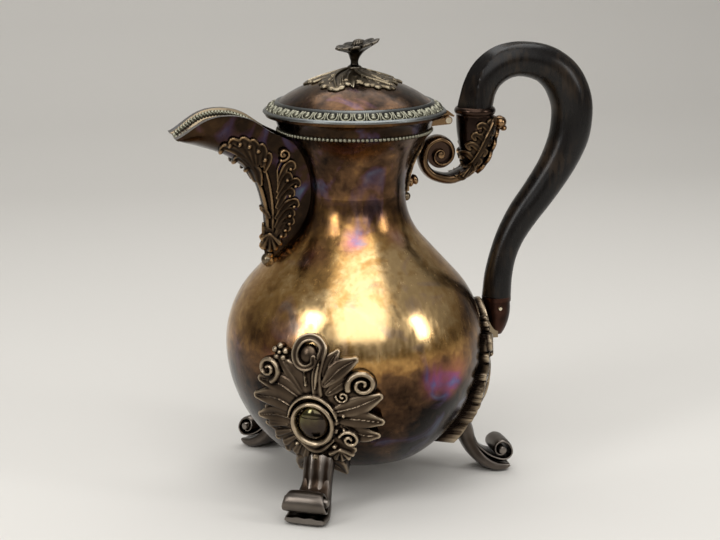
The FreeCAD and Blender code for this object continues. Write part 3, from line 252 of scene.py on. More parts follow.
# Darker tones for the spout and the collar, as painted shade.
spout_painted_shade_tones = [(0.0, "#614930"), (1.0, "#18120e"), (0.35, "#413020"), (0.7, "#251c15")]
body_silver = raised_silver("raised_tarnished_silver_painted_light", body_painted_light_by_height, body_painted_light_spots, body_stains, film_tones)
lid_silver = raised_silver("planished_tarnished_silver", lid_depths, [], [], film_tones)
spout_silver = raised_silver("tarnished_silver_painted_shade", spout_depths, [], [], spout_painted_shade_tones)


def coat(material, *nodes):
    """Give CAD pieces their finish."""
    for node in nodes:
        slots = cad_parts[node].data.materials
        slots.clear()
        slots.append(material)


# Plain fittings: the hinge, the pins, the socket and the ferrule are silver too, cast or drawn and filed.
# The tarnish stays dark in corners, deepened there by painted shade, and handling keeps the edges bright,
# helped by a painted highlight. The upper socket is nearly black.
edge_band = 0.035


def cast_silver(name, hollow, plain, bright, roughness):
    """Cast silver, tarnished and painted with shade in its corners, worn bright and painted with a highlight
    on its edges.
    """
    material, tree = new_material(name)
    place = add(tree, "ShaderNodeTexCoord").outputs["Object"]
    # Pointiness paints shade into corners and a highlight on edges, over the real tarnish and wear.
    edges = add(tree, "ShaderNodeNewGeometry").outputs["Pointiness"]
    cloud = add(tree, "ShaderNodeTexNoise", {"Vector": place, "Scale": 1 / film_mottle, "Detail": 5.0})
    edge_wear_and_highlight = add(tree, "ShaderNodeMapRange", {"Value": edges, "From Min": 0.5 - edge_band,
                                              "From Max": 0.5 + edge_band, "To Min": 0.0, "To Max": 0.8})
    wear_and_light_level = add(tree, "ShaderNodeMath", {0: cloud, 1: 0.25, 2: edge_wear_and_highlight},
               operation="MULTIPLY_ADD")
    tone = add(tree, "ShaderNodeValToRGB", {"Fac": wear_and_light_level},
               stops=[(0.12, hollow), (0.95, bright), (0.5, plain)])
    surface = add(tree, "ShaderNodeBsdfPrincipled", {
        "Base Color": tone, "Metallic": 1.0, "Roughness": roughness})
    add(tree, "ShaderNodeOutputMaterial", {"Surface": surface})
    return material


fitting_silver = cast_silver("filed_cast_silver", "#15110e", "#3d332b", "#8f8069", 0.28)
wire_silver = cast_silver("drawn_silver_wire", "#4a3f33", "#8d7a62", "#d8cbb2", 0.25)
inner_silver = cast_silver("dull_inner_silver", "#3a332c", "#7c7162", "#a89c88", 0.45)
border_silver = cast_silver("pale_worn_silver", "#191713", "#47453a", "#8b8978", 0.32)
bracket_silver = cast_silver("dark_bracket_silver", "#0c0907", "#281e17", "#8e7152", 0.25)
socket_silver = cast_silver("near_black_socket_silver", "#090706", "#191210", "#4c3b31", 0.24)
coat(fitting_silver, *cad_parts)
coat(body_silver, "pot_body")
coat(lid_silver, "lid_dome", "lid_bezel")
coat(spout_silver, "spout", "neck_collar")
coat(inner_silver, "strainer_plate")
coat(wire_silver, "hinge_pin", "handle_pin_lower", "finial_nut")
coat(border_silver, "lid_border", "neck_beading")
coat(bracket_silver, "hinge_bracket", "lid_hinge_leaf")
coat(socket_silver, "handle_socket", "handle_ferrule", "handle_pin_upper")


# Cartouches: three like castings in high relief, soldered on the belly above each foot.
# A big C-scroll, husks, gadroons, volutes and long leaves surround an oval boss in a double ring.
# The silver is tarnished dark in the hollows, with painted shade there, and worn pale along every roll and
# leaf edge, with a painted highlight.
no_metal = -1.0
wear_and_shade_passes = 10
plain_wear_and_light = 0.42
wear_and_light_gain = 0.55


class Relief:
    """A cast relief as heights over a flat grid of places, in millimetres."""

    def __init__(self, low, high, step):
        across = np.arange(low[0], high[0] + step, step)
        up = np.arange(low[1], high[1] + step, step)
        self.across, self.up = np.meshgrid(across, up)
        self.rise = np.full(self.across.shape, no_metal)

    def filled(self):
        """Where the grid holds metal."""
        return self.rise > no_metal / 2

    def follow(self, path, reach):
        """The part of the grid near a path: each place's distance from it and share of the way along it."""
        low = path.min(0) - reach
        high = path.max(0) + reach
        rows = np.where((self.up[:, 0] >= low[1]) & (self.up[:, 0] <= high[1]))[0]
        columns = np.where((self.across[0] >= low[0]) & (self.across[0] <= high[0]))[0]
        window = (slice(rows[0], rows[-1] + 1), slice(columns[0], columns[-1] + 1))
        spots = np.stack([self.across[window], self.up[window]], -1)[:, :, None, :]
        start = path[:-1]
        run = np.diff(path, axis=0)
        length = np.linalg.norm(run, axis=1)
        share = np.clip(((spots - start) * run).sum(-1) / length ** 2, 0, 1)
        gaps = np.linalg.norm(spots - start - share[..., None] * run, axis=-1)
        nearest = gaps.argmin(-1)[..., None]
        away = np.take_along_axis(gaps, nearest, -1)[..., 0]
        passed = (np.cumsum(length) - length)[nearest]
        passed = passed + np.take_along_axis(share, nearest, -1) * length[nearest]
        return window, away, passed[..., 0] / length.sum()

    def lift(self, window, inside, high):
        self.rise[window] = np.where(inside, np.maximum(self.rise[window], high), self.rise[window])

    def roll(self, path, width, rise, hollow=0.0, ends=(1.0, 1.0), swell=0.0, base=0.0):
        """Rounded roll along a path, with a scooped middle where hollow is more than 0."""
        window, away, along = self.follow(path, width)
        taper = ends[0] + (ends[1] - ends[0]) * along + swell * np.sin(np.pi * along)
        half = width / 2 * np.maximum(taper, 0.06)
        bulge = np.sqrt(1 - np.clip(away / half, 0, 1) ** 2)
        self.lift(window, away < half, base + rise * bulge * (1 - hollow * bulge ** 4))

    def stroke(self, points, width, rise, **shape):
        """Rounded roll along a smooth curve through a few points."""
        self.roll(curve_through(points), width, rise, **shape)

    def bead(self, spot, radius, rise, base=0.0):
        away = np.hypot(self.across - spot[0], self.up - spot[1])
        bulge = np.sqrt(1 - np.clip(away / radius, 0, 1) ** 2)
        self.lift(np.s_[:], away < radius, base + rise * bulge)

    def flower(self, spot, reach, petals, rise, base=0.0):
        """Ring of round petals about a raised middle."""
        for place in range(petals):
            turn = 2 * math.pi * (place + 0.25) / petals
            petal = (spot[0] + reach * math.cos(turn), spot[1] + reach * math.sin(turn))
            self.bead(petal, reach * 0.62, rise, base)
        self.bead(spot, reach * 0.45, rise * 1.15, base)

    def plate(self, outline, rise):
        """Flat ground inside a closed outline."""
        inside = np.zeros(self.rise.shape, bool)
        for start, end in zip(outline, np.roll(outline, -1, axis=0)):
            crosses = (start[1] > self.up) != (end[1] > self.up)
            if start[1] != end[1]:
                meets = start[0] + (self.up - start[1]) / (end[1] - start[1]) * (end[0] - start[0])
                inside ^= crosses & (self.across < meets)
        self.lift(np.s_[:], inside, rise)

    def wear_and_painted_light(self):
        """How far each place stands out of its surroundings, from 0 in a hollow to 1 on an edge."""
        # Height above a blurred copy: hollows in the shade of higher relief come out dark as painted shade,
        # raised edges pale as a painted highlight.
        ground = np.maximum(self.rise, 0)
        soft = ground.copy()
        for turn in range(wear_and_shade_passes):
            edge = np.pad(soft, 1, mode="edge")
            soft = (edge[2:, 1:-1] + edge[:-2, 1:-1] + edge[1:-1, 2:] + edge[1:-1, :-2] + soft) / 5
        return np.clip(plain_wear_and_light + wear_and_light_gain * (ground - soft), 0, 1)


def curve_through(points, steps=9):
    """Smooth curve through a few points."""
    spots = np.array(points, float)
    line = np.vstack([2 * spots[0] - spots[1], spots, 2 * spots[-1] - spots[-2]])
    share = np.linspace(0, 1, steps, endpoint=False)[:, None]
    pieces = []
    for before, start, end, after in zip(line, line[1:], line[2:], line[3:]):
        pieces.append(start + 0.5 * share * (end - before + share * (
            2 * before - 5 * start + 4 * end - after + share * (3 * (start - end) + after - before))))
    return np.vstack(pieces + [spots[-1:]])


def coil(centre, radius, turns, start, eye=0.16):
    """Volute running in from its rim to its eye, from a start direction in degrees."""
    share = np.linspace(0, 1, 44)
    turn = math.radians(start) + 2 * math.pi * turns * share
    reach = radius * (1 - (1 - eye) * share ** 0.85)
    return np.stack([centre[0] + reach * np.cos(turn), centre[1] + reach * np.sin(turn)], 1)


def new_piece(name, mesh, material, body, slot, *nodes):
    """Link a mesh made round the pot's axis as a piece that rides on a body and stands for CAD nodes."""
    mesh.name = name
    mesh.transform(Matrix.Translation(pot_axis))
    piece = bpy.data.objects.new(name, mesh)
    bpy.context.scene.collection.objects.link(piece)
    mesh.materials.clear()
    mesh.materials.append(material)
    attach(piece, body)
    if nodes:
        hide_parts(*nodes)
    return piece


def outward(mesh, crease=60):
    """Merge doubles, turn the faces outwards, and smooth all but sharp edges."""
    work = bmesh.new()
    work.from_mesh(mesh)
    bmesh.ops.remove_doubles(work, verts=work.verts, dist=0.002 * MM)
    bmesh.ops.recalc_face_normals(work, faces=work.faces)
    work.to_mesh(mesh)
    work.free()
    for polygon in mesh.polygons:
        polygon.use_smooth = True
    mesh.set_sharp_from_angle(angle=math.radians(crease))
    return mesh


def cast(relief, front, back):
    """Closed mesh of a relief: front places each height over its carrier, and back the face behind it."""
    keep = relief.filled()
    cells = keep[:-1, :-1] & keep[1:, :-1] & keep[:-1, 1:] & keep[1:, 1:]
    number = np.full(keep.shape, -1)
    used = np.zeros(keep.shape, bool)
    for rows in (slice(0, -1), slice(1, None)):
        for columns in (slice(0, -1), slice(1, None)):
            used[rows, columns] |= cells
    count = int(used.sum())
    number[used] = np.arange(count)
    across, up = relief.across[used], relief.up[used]
    spots = np.vstack([front(across, up, relief.rise[used]), back(across, up)]) * MM
    quads = np.stack([number[:-1, :-1][cells], number[:-1, 1:][cells], number[1:, 1:][cells],
                      number[1:, :-1][cells]], 1)
    edges = np.vstack([quads[:, [side, (side + 1) % 4]] for side in range(4)])
    known = set(map(tuple, edges.tolist()))
    rim = [(start, end) for start, end in known if (end, start) not in known]
    faces = quads.tolist() + (quads[:, ::-1] + count).tolist()
    faces += [(end, start, start + count, end + count) for start, end in rim]
    mesh = bpy.data.meshes.new("casting")
    mesh.from_pydata(spots.tolist(), [], faces)
    wear_and_light_level = mesh.attributes.new("wear_and_painted_light", "FLOAT", "POINT")
    level = relief.wear_and_painted_light()[used]
    wear_and_light_level.data.foreach_set("value", np.concatenate([level, level * 0]))
    return outward(mesh)


def relief_silver(name, hollow, plain, bright, roughness):
    """Cast silver in relief, dark with tarnish and painted shade in its hollows, pale with wear and a painted
    highlight on its edges.
    """
    material, tree = new_material(name)
    place = add(tree, "ShaderNodeTexCoord").outputs["Object"]
    wear_and_light_level = add(tree, "ShaderNodeAttribute", attribute_name="wear_and_painted_light").outputs["Fac"]
    cloud = add(tree, "ShaderNodeTexNoise", {"Vector": place, "Scale": 1 / film_mottle, "Detail": 5.0})
    level = add(tree, "ShaderNodeMath", {0: cloud, 1: 0.3, 2: wear_and_light_level}, operation="MULTIPLY_ADD")
    tone = add(tree, "ShaderNodeValToRGB", {"Fac": level},
               stops=[(0.2, hollow), (1.0, bright), (0.42, hollow), (0.62, plain)])
    surface = add(tree, "ShaderNodeBsdfPrincipled", {
        "Base Color": tone, "Metallic": 1.0, "Roughness": roughness})
    add(tree, "ShaderNodeOutputMaterial", {"Surface": surface})
    return material


ornament_silver = relief_silver("cast_relief_silver", "#17110d", "#54473a", "#b8a68c", 0.3)
bowl_centre, bowl_arc = -2.7, 72.0
shoulder_centre, shoulder_arc = 16.3, 53.0
belly_height = 78.0
boss_height = 51.0
stand_heights = (18.0, 30.0, 40.0, 55.0, 75.0, 96.0)
stand_reach = (12.0, 9.5, 6.5, 3.6, 1.4, 0.7)
sunk = 0.3
backing_leaves = 20
foot_turns = {"right": 0.0, "rear": 120.0, "front": -120.0}


def pot_radius(height):
    """Outside radius of the belly at a height, in millimetres."""
    centre = np.where(height < belly_height, bowl_centre, shoulder_centre)
    arc = np.where(height < belly_height, bowl_arc, shoulder_arc)
    return centre + np.sqrt(arc ** 2 - (height - belly_height) ** 2)


def cartouche_front(across, up, rise):
    """Places on the standing face of a cartouche, on the +X side of the pot."""
    radius = pot_radius(up) + np.interp(up, stand_heights, stand_reach)
    step = 0.5
    ahead = pot_radius(up + step) + np.interp(up + step, stand_heights, stand_reach)
    slope = np.hypot(step, ahead - radius)
    reach = radius + rise * step / slope
    turn = np.arcsin(across / radius)
    return np.stack([reach * np.cos(turn), reach * np.sin(turn), up - rise * (ahead - radius) / slope], 1)


def cartouche_back(across, up):
    """Places behind a cartouche, sunk a little into the belly."""
    radius = pot_radius(up) - sunk
    turn = np.arcsin(across / (radius + sunk + np.interp(up, stand_heights, stand_reach)))
    return np.stack([radius * np.cos(turn), radius * np.sin(turn), up], 1)


def on_each_foot(name, mesh, material, slot):
    """Three copies of a mesh made on the +X side of the pot, one turned to each foot."""
    for foot, turn in foot_turns.items():
        turned = mesh.copy()
        turned.transform(Matrix.Rotation(math.radians(turn), 4, "Z"))
        new_piece(f"{name}_{foot}", turned, material, "pot", slot, f"foot_{name}_{foot}")


carving = Relief((-35, 20), (35, 98), 0.4)
plate_edge = [(-2, 92), (6, 89), (14, 83), (24, 76), (27.5, 66), (27.5, 52), (24, 43), (16, 35), (8, 28),
              (0, 25), (-8, 28), (-15, 35), (-24, 45), (-28, 58), (-26, 70), (-20, 80), (-11, 88), (-2, 92)]
carving.plate(curve_through(plate_edge), 0.5)
for place in range(backing_leaves):
    turn = math.radians(360 / backing_leaves * place + 4)
    bend = turn + math.radians(9)
    wide, tall = (24.5, 25.5) if math.sin(turn) < 0 else (25.5, 33.0)
    carving.stroke([(11.5 * math.cos(turn), boss_height + 12.5 * math.sin(turn)),
                    (19 * math.cos(turn), 52.5 + 0.74 * tall * math.sin(turn)),
                    (wide * math.cos(bend), 53 + tall * math.sin(bend))],
                   8.4, 2.8, hollow=0.45, ends=(0.5, 0.5), swell=0.6, base=0.3)
leaves = [
    ([(-5, 63.5), (-16.6, 69.5), (-28.4, 71)], 8.0, 3.4), ([(-7, 57), (-18.6, 62), (-31.4, 61.5)], 8.0, 3.4),
    ([(-9, 51.5), (-20, 53), (-30, 51)], 7.0, 3.0), ([(7, 77), (9.8, 84), (12.6, 88.4)], 5.6, 3.0),
    ([(7, 72.5), (14, 80), (21.2, 84.6)], 7.0, 3.6), ([(8.5, 67.5), (15.6, 73), (20.4, 73.6)], 5.0, 3.0),
    ([(11.5, 58), (22, 61), (32.4, 65.8)], 7.4, 3.8), ([(11.5, 54.5), (22, 54), (32.6, 52.2)], 7.4, 3.6),
    ([(15.5, 50.5), (23.5, 45.5), (30.4, 44.6)], 6.6, 3.2), ([(4, 29), (9, 26), (11.6, 21.6)], 6.0, 3.0),
    ([(-4, 29), (-9, 26.5), (-12, 22)], 6.0, 3.0), ([(-9, 45), (-19, 46), (-26.4, 47)], 5.0, 2.6),
]
for points, width, rise in leaves:
    carving.stroke(points, width * 1.45, rise, hollow=0.5, ends=(0.5, 0.42), swell=0.6, base=0.5)
    carving.stroke(points, width * 0.16, rise * 0.7, ends=(1.0, 0.3), base=0.5)
for across, up in ((-23.5, 47.5), (-20.5, 42.5), (-16.5, 37.6), (-11.4, 33.6), (-6.2, 31.0)):
    inner = (across * 0.62, boss_height + (up - boss_height) * 0.66)
    carving.stroke([(across, up), inner], 4.8, 3.0, hollow=0.3, ends=(1.0, 0.5), base=0.4)
big_scroll = [(3.2, 67), (2.6, 76), (4.2, 84), (5.6, 89.5), (3, 93.4), (-1.6, 94.8), (-6.4, 92.5),
              (-8.8, 87.2), (-7.4, 81.8), (-3.4, 79.8), (0.6, 81.8), (1.0, 85)]
carving.stroke(big_scroll, 6.6, 4.4, hollow=0.45, ends=(0.9, 0.55), base=0.5)
carving.stroke([(2.4, 70), (2.9, 77), (4.3, 84)], 2.6, 4.0, ends=(0.5, 0.3), swell=0.6, base=0.5)
carving.stroke([(-3.6, 78), (-2.8, 71)], 2.0, 2.8, ends=(0.4, 1.0), base=0.5)
carving.stroke([(-4.5, 65), (-11, 74), (-17, 82)], 5.2, 2.8, hollow=0.4, ends=(0.6, 0.6), swell=0.4, base=0.4)
volutes = [
    ((-23.6, 77), 6.6, 1.55, -70, 3.2, 3.8, (1.1, 0.8)), ((24.8, 72.4), 7.0, -1.6, 200, 3.6, 4.4, (1.2, 0.8)),
    ((15.6, 66.4), 3.2, 1.3, 180, 1.8, 3.6, (1.0, 1.0)), ((17.6, 43.4), 5.0, -1.4, 160, 2.4, 4.4, (1.0, 1.0)),
]
for spot, radius, turns, start, width, rise, ends in volutes:
    carving.roll(coil(spot, radius, turns, start), width, rise, ends=ends, base=0.4)
for spot, radius, rise in (((-2.4, 86.4), 5.0, 2.6), ((-23.6, 77), 6.4, 2.0), ((24.8, 72.4), 7.2, 2.4)):
    carving.bead(spot, radius, rise, 0.4)
carving.flower((-17.6, 86), 3.1, 5, 2.6, 0.4)
for spot, radius in (((11.6, 56.6), 1.9), ((11.8, 52.2), 2.0), ((11.4, 47.6), 1.9), ((-1.0, 31.2), 2.4),
                     ((9.8, 38.6), 1.5), ((-9.6, 38.6), 1.5), ((15.6, 56.2), 1.3), ((15.4, 48.4), 1.2)):
    carving.bead(spot, radius, 3.6, 0.5)
for place in range(5):
    turn = math.radians(-150 + 30 * place)
    carving.stroke([(12.4, 36.8), (12.4 + 6 * math.cos(turn), 36.8 + 6 * math.sin(turn))], 2.9, 3.0,
                   ends=(0.6, 1.1), base=0.4)
carving.stroke([(-9.4, 42), (0, 36.0), (9.4, 42)], 5.0, 4.0, hollow=0.5, ends=(0.3, 0.3), swell=0.75,
               base=0.5)
oval = np.linspace(0, 2 * math.pi, 60)
carving.roll(np.stack([10.0 * np.cos(oval), boss_height + 10.8 * np.sin(oval)], 1), 3.4, 4.6, base=0.6)
arch = np.linspace(math.radians(10), math.radians(170), 40)
carving.roll(np.stack([12.6 * np.cos(arch), boss_height + 14.6 * np.sin(arch)], 1), 2.8, 4.0, ends=(0.6, 0.6),
             swell=0.5, base=0.5)
on_each_foot("cartouche", cast(carving, cartouche_front, cartouche_back), ornament_silver, "cast_ornament")


# Cabochons: a polished oval boss in the middle of each cartouche, dark as a stone.
# Each is domed and burnished, and a yellowish tarnish clouds it.
cabochon_half = (8.5, 9.3)
cabochon_dome = 5.2
cabochon_seat = 0.4


def clouded_metal(name, detail, stops, roughness):
    """Smooth metal clouded by tarnish."""
    material, tree = new_material(name)
    place = add(tree, "ShaderNodeTexCoord").outputs["Object"]
    cloud = add(tree, "ShaderNodeTexNoise", {"Vector": place, "Scale": 1 / film_mottle, "Detail": detail})
    tone = add(tree, "ShaderNodeValToRGB", {"Fac": cloud}, stops=stops)
    surface = add(tree, "ShaderNodeBsdfPrincipled", {
        "Base Color": tone, "Metallic": 1.0, "Roughness": roughness})
    add(tree, "ShaderNodeOutputMaterial", {"Surface": surface})
    return material


boss_tones = [(0.3, "#3a3230"), (0.75, "#6e6a48"), (0.5, "#4b4236")]
burnished = clouded_metal("burnished_dark_silver", 2.0, boss_tones, 0.14)
boss = Relief((-10, 40), (10, 62), 0.35)
share = np.hypot(boss.across / cabochon_half[0], (boss.up - boss_height) / cabochon_half[1])
boss.lift(np.s_[:], share < 1, cabochon_seat + cabochon_dome * np.sqrt(1 - np.clip(share, 0, 1) ** 2.2))
on_each_foot("cabochon", cast(boss, cartouche_front, cartouche_back), burnished, "polished_cabochon")


# Handle: one carved piece of ebonised hardwood, from the upper socket over a bend and down in a long S.
# Two flats meet in a ridge over the first bend, and die away where the hand closes.
# The polish is brown with use.
grip_stations = [
    (65.9, 198.4, 9.5), (65.9, 202.0, 9.6), (66.4, 205.0, 9.4), (68.3, 212.2, 9.3),
    (72.3, 219.2, 9.5), (78.9, 224.4, 9.6), (86.0, 226.6, 9.4), (92.5, 226.8, 9.4),
    (100.4, 225.4, 9.8), (107.5, 222.2, 10.3), (114.2, 216.0, 11.0), (118.6, 207.4, 11.3),
    (120.3, 198.9, 11.2), (119.5, 187.6, 11.0), (116.5, 178.0, 10.4), (111.0, 167.0, 9.6),
    (102.4, 154.2, 9.0), (94.0, 143.0, 8.5), (87.2, 131.7, 7.7), (82.8, 120.4, 7.3),
    (80.3, 108.9, 7.6), (79.4, 97.6, 7.9),
]
flat_angle = math.radians(88)
flat_share = 0.3
around_grip = 72
wood_grain = 2.4 * MM
wood_cloud = 24 * MM


def skin(rings, loop=False):
    """Skin through rings of places: capped at both ends, or joined end to end."""
    rings = np.asarray(rings)
    count, around = rings.shape[:2]
    faces = []
    for ring in range(count if loop else count - 1):
        here, there = ring * around, (ring + 1) % count * around
        for side in range(around):
            after = (side + 1) % around
            faces.append((here + side, here + after, there + after, there + side))
    if not loop:
        faces.append(tuple(reversed(range(around))))
        faces.append(tuple(range((count - 1) * around, count * around)))
    return rings.reshape(-1, 3), faces


def solid(skins, crease=60):
    """One mesh in metres from skins given in millimetres."""
    spots, faces = [], []
    for places, sides in skins:
        start = len(spots)
        spots += (places * MM).tolist()
        faces += [tuple(start + corner for corner in side) for side in sides]
    mesh = bpy.data.meshes.new("solid")
    mesh.from_pydata(spots, [], faces)
    return outward(mesh, crease)


def upright_frame(line):
    """Directions out of a line drawn in the upright middle plane, each at right angles to its run."""
    run = np.gradient(line[:, :2], axis=0)
    run /= np.linalg.norm(run, axis=1)[:, None]
    return np.stack([-run[:, 1], run[:, 0]], 1)


grip_line = curve_through(grip_stations, 8)
grip_out = upright_frame(grip_line)
passed = np.cumsum(np.r_[0, np.linalg.norm(np.diff(grip_line[:, :2], axis=0), axis=1)])
grip_rings = []
for (across, up, radius), out, way in zip(grip_line, grip_out, passed / passed[-1]):
    turn = np.linspace(-math.pi, math.pi, around_grip, endpoint=False)
    flat = flat_angle * max(0.02, 1 - way / flat_share)
    reach = np.full(around_grip, radius)
    facing = np.abs(turn) < flat
    reach[facing] = radius * math.cos(flat / 2) / np.cos(np.abs(turn[facing]) - flat / 2)
    grip_rings.append(np.stack([across + reach * np.cos(turn) * out[0], reach * np.sin(turn),
                                up + reach * np.cos(turn) * out[1]], 1))
ebony, tree = new_material("ebonised_hardwood")
place = add(tree, "ShaderNodeTexCoord").outputs["Object"]
along = add(tree, "ShaderNodeMapping", {"Vector": place, "Scale": (1.0, 1.0, 0.16)})
grain = add(tree, "ShaderNodeTexNoise", {"Vector": along, "Scale": 1 / wood_grain, "Detail": 5.0})
cloud = add(tree, "ShaderNodeTexNoise", {"Vector": place, "Scale": 1 / wood_cloud, "Detail": 3.0})
streak = add(tree, "ShaderNodeMath", {0: grain, 1: 0.6, 2: cloud},
             operation="MULTIPLY_ADD")
tone = add(tree, "ShaderNodeValToRGB", {"Fac": streak},
           stops=[(0.55, "#0a0807"), (1.0, "#2a2118"), (0.8, "#110e0c")])
polish = add(tree, "ShaderNodeMapRange", {"Value": grain, "To Min": 0.22, "To Max": 0.34})
surface = add(tree, "ShaderNodeBsdfPrincipled", {
    "Base Color": tone, "Roughness": polish, "Specular IOR Level": 0.22})
add(tree, "ShaderNodeOutputMaterial", {"Surface": surface})
new_piece("handle_grip", solid([skin(grip_rings)], 16), ebony, "pot", "ebonised_wood", "handle")
coat(clouded_metal("dark_copper_tarnish", 5.0, [(0.3, "#2a1d18"), (0.75, "#6a4434"), (0.5, "#432c24")], 0.36),
     "handle_low_socket")


# Feet: each leg is a fluted shank that runs out from under its cartouche to a flat dark sole.
# A broad band rolls over it into a volute with a bossed eye, polished bright by dusting, with a painted
# highlight on its edges.
shank_stations = [
    (50.0, 38.0, 4.5, 8.5), (57.5, 31.0, 5.5, 8.4), (61.5, 23.5, 4.8, 7.9), (63.8, 17.0, 4.2, 7.8),
    (67.5, 10.5, 3.9, 8.6), (72.5, 5.8, 3.6, 10.2), (78.0, 3.2, 3.3, 11.2), (83.0, 2.7, 2.8, 11.0),
    (85.8, 3.2, 1.4, 10.4),
]
band_stations = [
    (62.6, 25.0, 0.9, 6.0), (65.4, 19.5, 0.95, 6.8), (68.5, 14.5, 1.0, 7.8), (74.0, 9.8, 1.0, 9.6),
    (80.0, 7.4, 1.0, 11.2), (84.4, 7.8, 1.0, 11.9), (86.6, 11.0, 1.1, 11.5), (85.2, 15.0, 1.2, 10.2),
    (81.4, 16.6, 1.2, 9.2), (78.0, 14.6, 1.1, 9.4), (77.8, 11.2, 0.95, 10.2), (80.2, 9.6, 0.85, 10.9),
    (82.6, 11.0, 0.8, 11.2), (82.0, 12.8, 0.7, 11.4),
]
flute_depth = 0.6
band_dish = 0.35
eye_spot = (81.2, 12.3)
eye_radius, eye_half = 2.1, 12.1
eye_rims = [(-1.0, 0.5), (-0.97, 0.9), (-0.92, 1.0), (0.92, 1.0), (0.97, 0.9), (1.0, 0.5)]
around_leg = 64


def circle(around):
    """Even angles once round."""
    return np.linspace(0, 2 * math.pi, around, endpoint=False)


def bar(stations, square, shape, steps=6):
    """Skin of a bar through stations of place, half thickness and half width, dished outside by shape."""
    line = curve_through(stations, steps)
    turn = circle(around_leg)
    wide = np.sign(np.cos(turn)) * np.abs(np.cos(turn)) ** square
    thick = np.sign(np.sin(turn)) * np.abs(np.sin(turn)) ** square
    rings = []
    for (across, up, half, width), out in zip(line, upright_frame(line)):
        rise = half * thick - np.where(thick > 0, shape(wide), 0) * np.minimum(1, half / 2)
        rings.append(np.stack([across + rise * out[0], width * wide, np.maximum(up + rise * out[1], 0)], 1))
    return skin(rings)


def boss_across(spot, radius, half, rims, around):
    """Skin of a round boss across the middle plane, its rims as shares of half width and radius."""
    turn = circle(around)
    return skin([np.stack([spot[0] + radius * share * np.cos(turn), turn * 0 + side * half,
                           spot[1] + radius * share * np.sin(turn)], 1) for side, share in rims])


shank = bar(shank_stations, 0.62, lambda wide: flute_depth * (0.5 - 0.5 * np.cos(3 * math.pi * (wide + 1))))
band = bar(band_stations, 0.66, lambda wide: band_dish * (1 - np.abs(wide) ** 4))
eye = boss_across(eye_spot, eye_radius, eye_half, eye_rims, 32)
leg_silver = cast_silver("rubbed_foot_silver_painted_light", "#0d0a08", "#30261e", "#877f77", 0.32)
on_each_foot("leg", solid([shank, band, eye], 40), leg_silver, "cast_ornament")


# Lid border: a cast ring with egg and dart on its slope, between a fillet next to the dome and a thin flange.
# The eggs and their husks are rubbed to a pale greenish grey, and the flange shows a cold bluish silver.
border_outline = [(39.9, 203.4), (39.9, 206.9), (40.6, 207.45), (41.4, 207.5), (42.0, 206.9), (42.6, 205.7),
                  (46.2, 202.9), (46.8, 203.1), (47.5, 203.0), (48.3, 202.3), (48.4, 201.7), (48.1, 201.25),
                  (44.0, 201.25)]
border_slope = math.atan2(-2.8, 3.6)
border_middle = (44.4, 204.2)
egg_count = 40
around_border = 192


def lathe(outline, around):
    """Skin of a ring with a closed outline of radius and height."""
    radius, height = np.array(outline).T
    return skin([np.stack([radius * math.cos(angle), radius * math.sin(angle), height], 1)
                 for angle in circle(around)], loop=True)


def pebble(spot, half, tilt=0.0, rows=8, around=14):
    """Egg-shaped skin with three half sizes, tilted about the way round the pot."""
    rings = []
    turn = circle(around)
    for rise in np.linspace(-0.98, 0.98, rows):
        flat = math.sqrt(1 - rise * rise)
        rings.append(np.stack([half[0] * flat * np.cos(turn), half[1] * flat * np.sin(turn),
                               turn * 0 + half[2] * rise], 1))
    places = np.array(rings) @ np.array([[math.cos(tilt), 0, math.sin(tilt)], [0, 1, 0],
                                         [-math.sin(tilt), 0, math.cos(tilt)]])
    return skin(places + np.array(spot))


def tube(points, radius, around=8, steps=4):
    """Skin of a round wire through points in space."""
    line = curve_through(points, steps)
    run = np.gradient(line, axis=0)
    run /= np.linalg.norm(run, axis=1)[:, None]
    rings = []
    turn = circle(around)[:, None]
    for spot, way in zip(line, run):
        side = np.cross(way, (0.31, 0.27, 0.91))
        side /= np.linalg.norm(side)
        over = np.cross(way, side)
        rings.append(spot + radius * (np.cos(turn) * side + np.sin(turn) * over))
    return skin(rings)


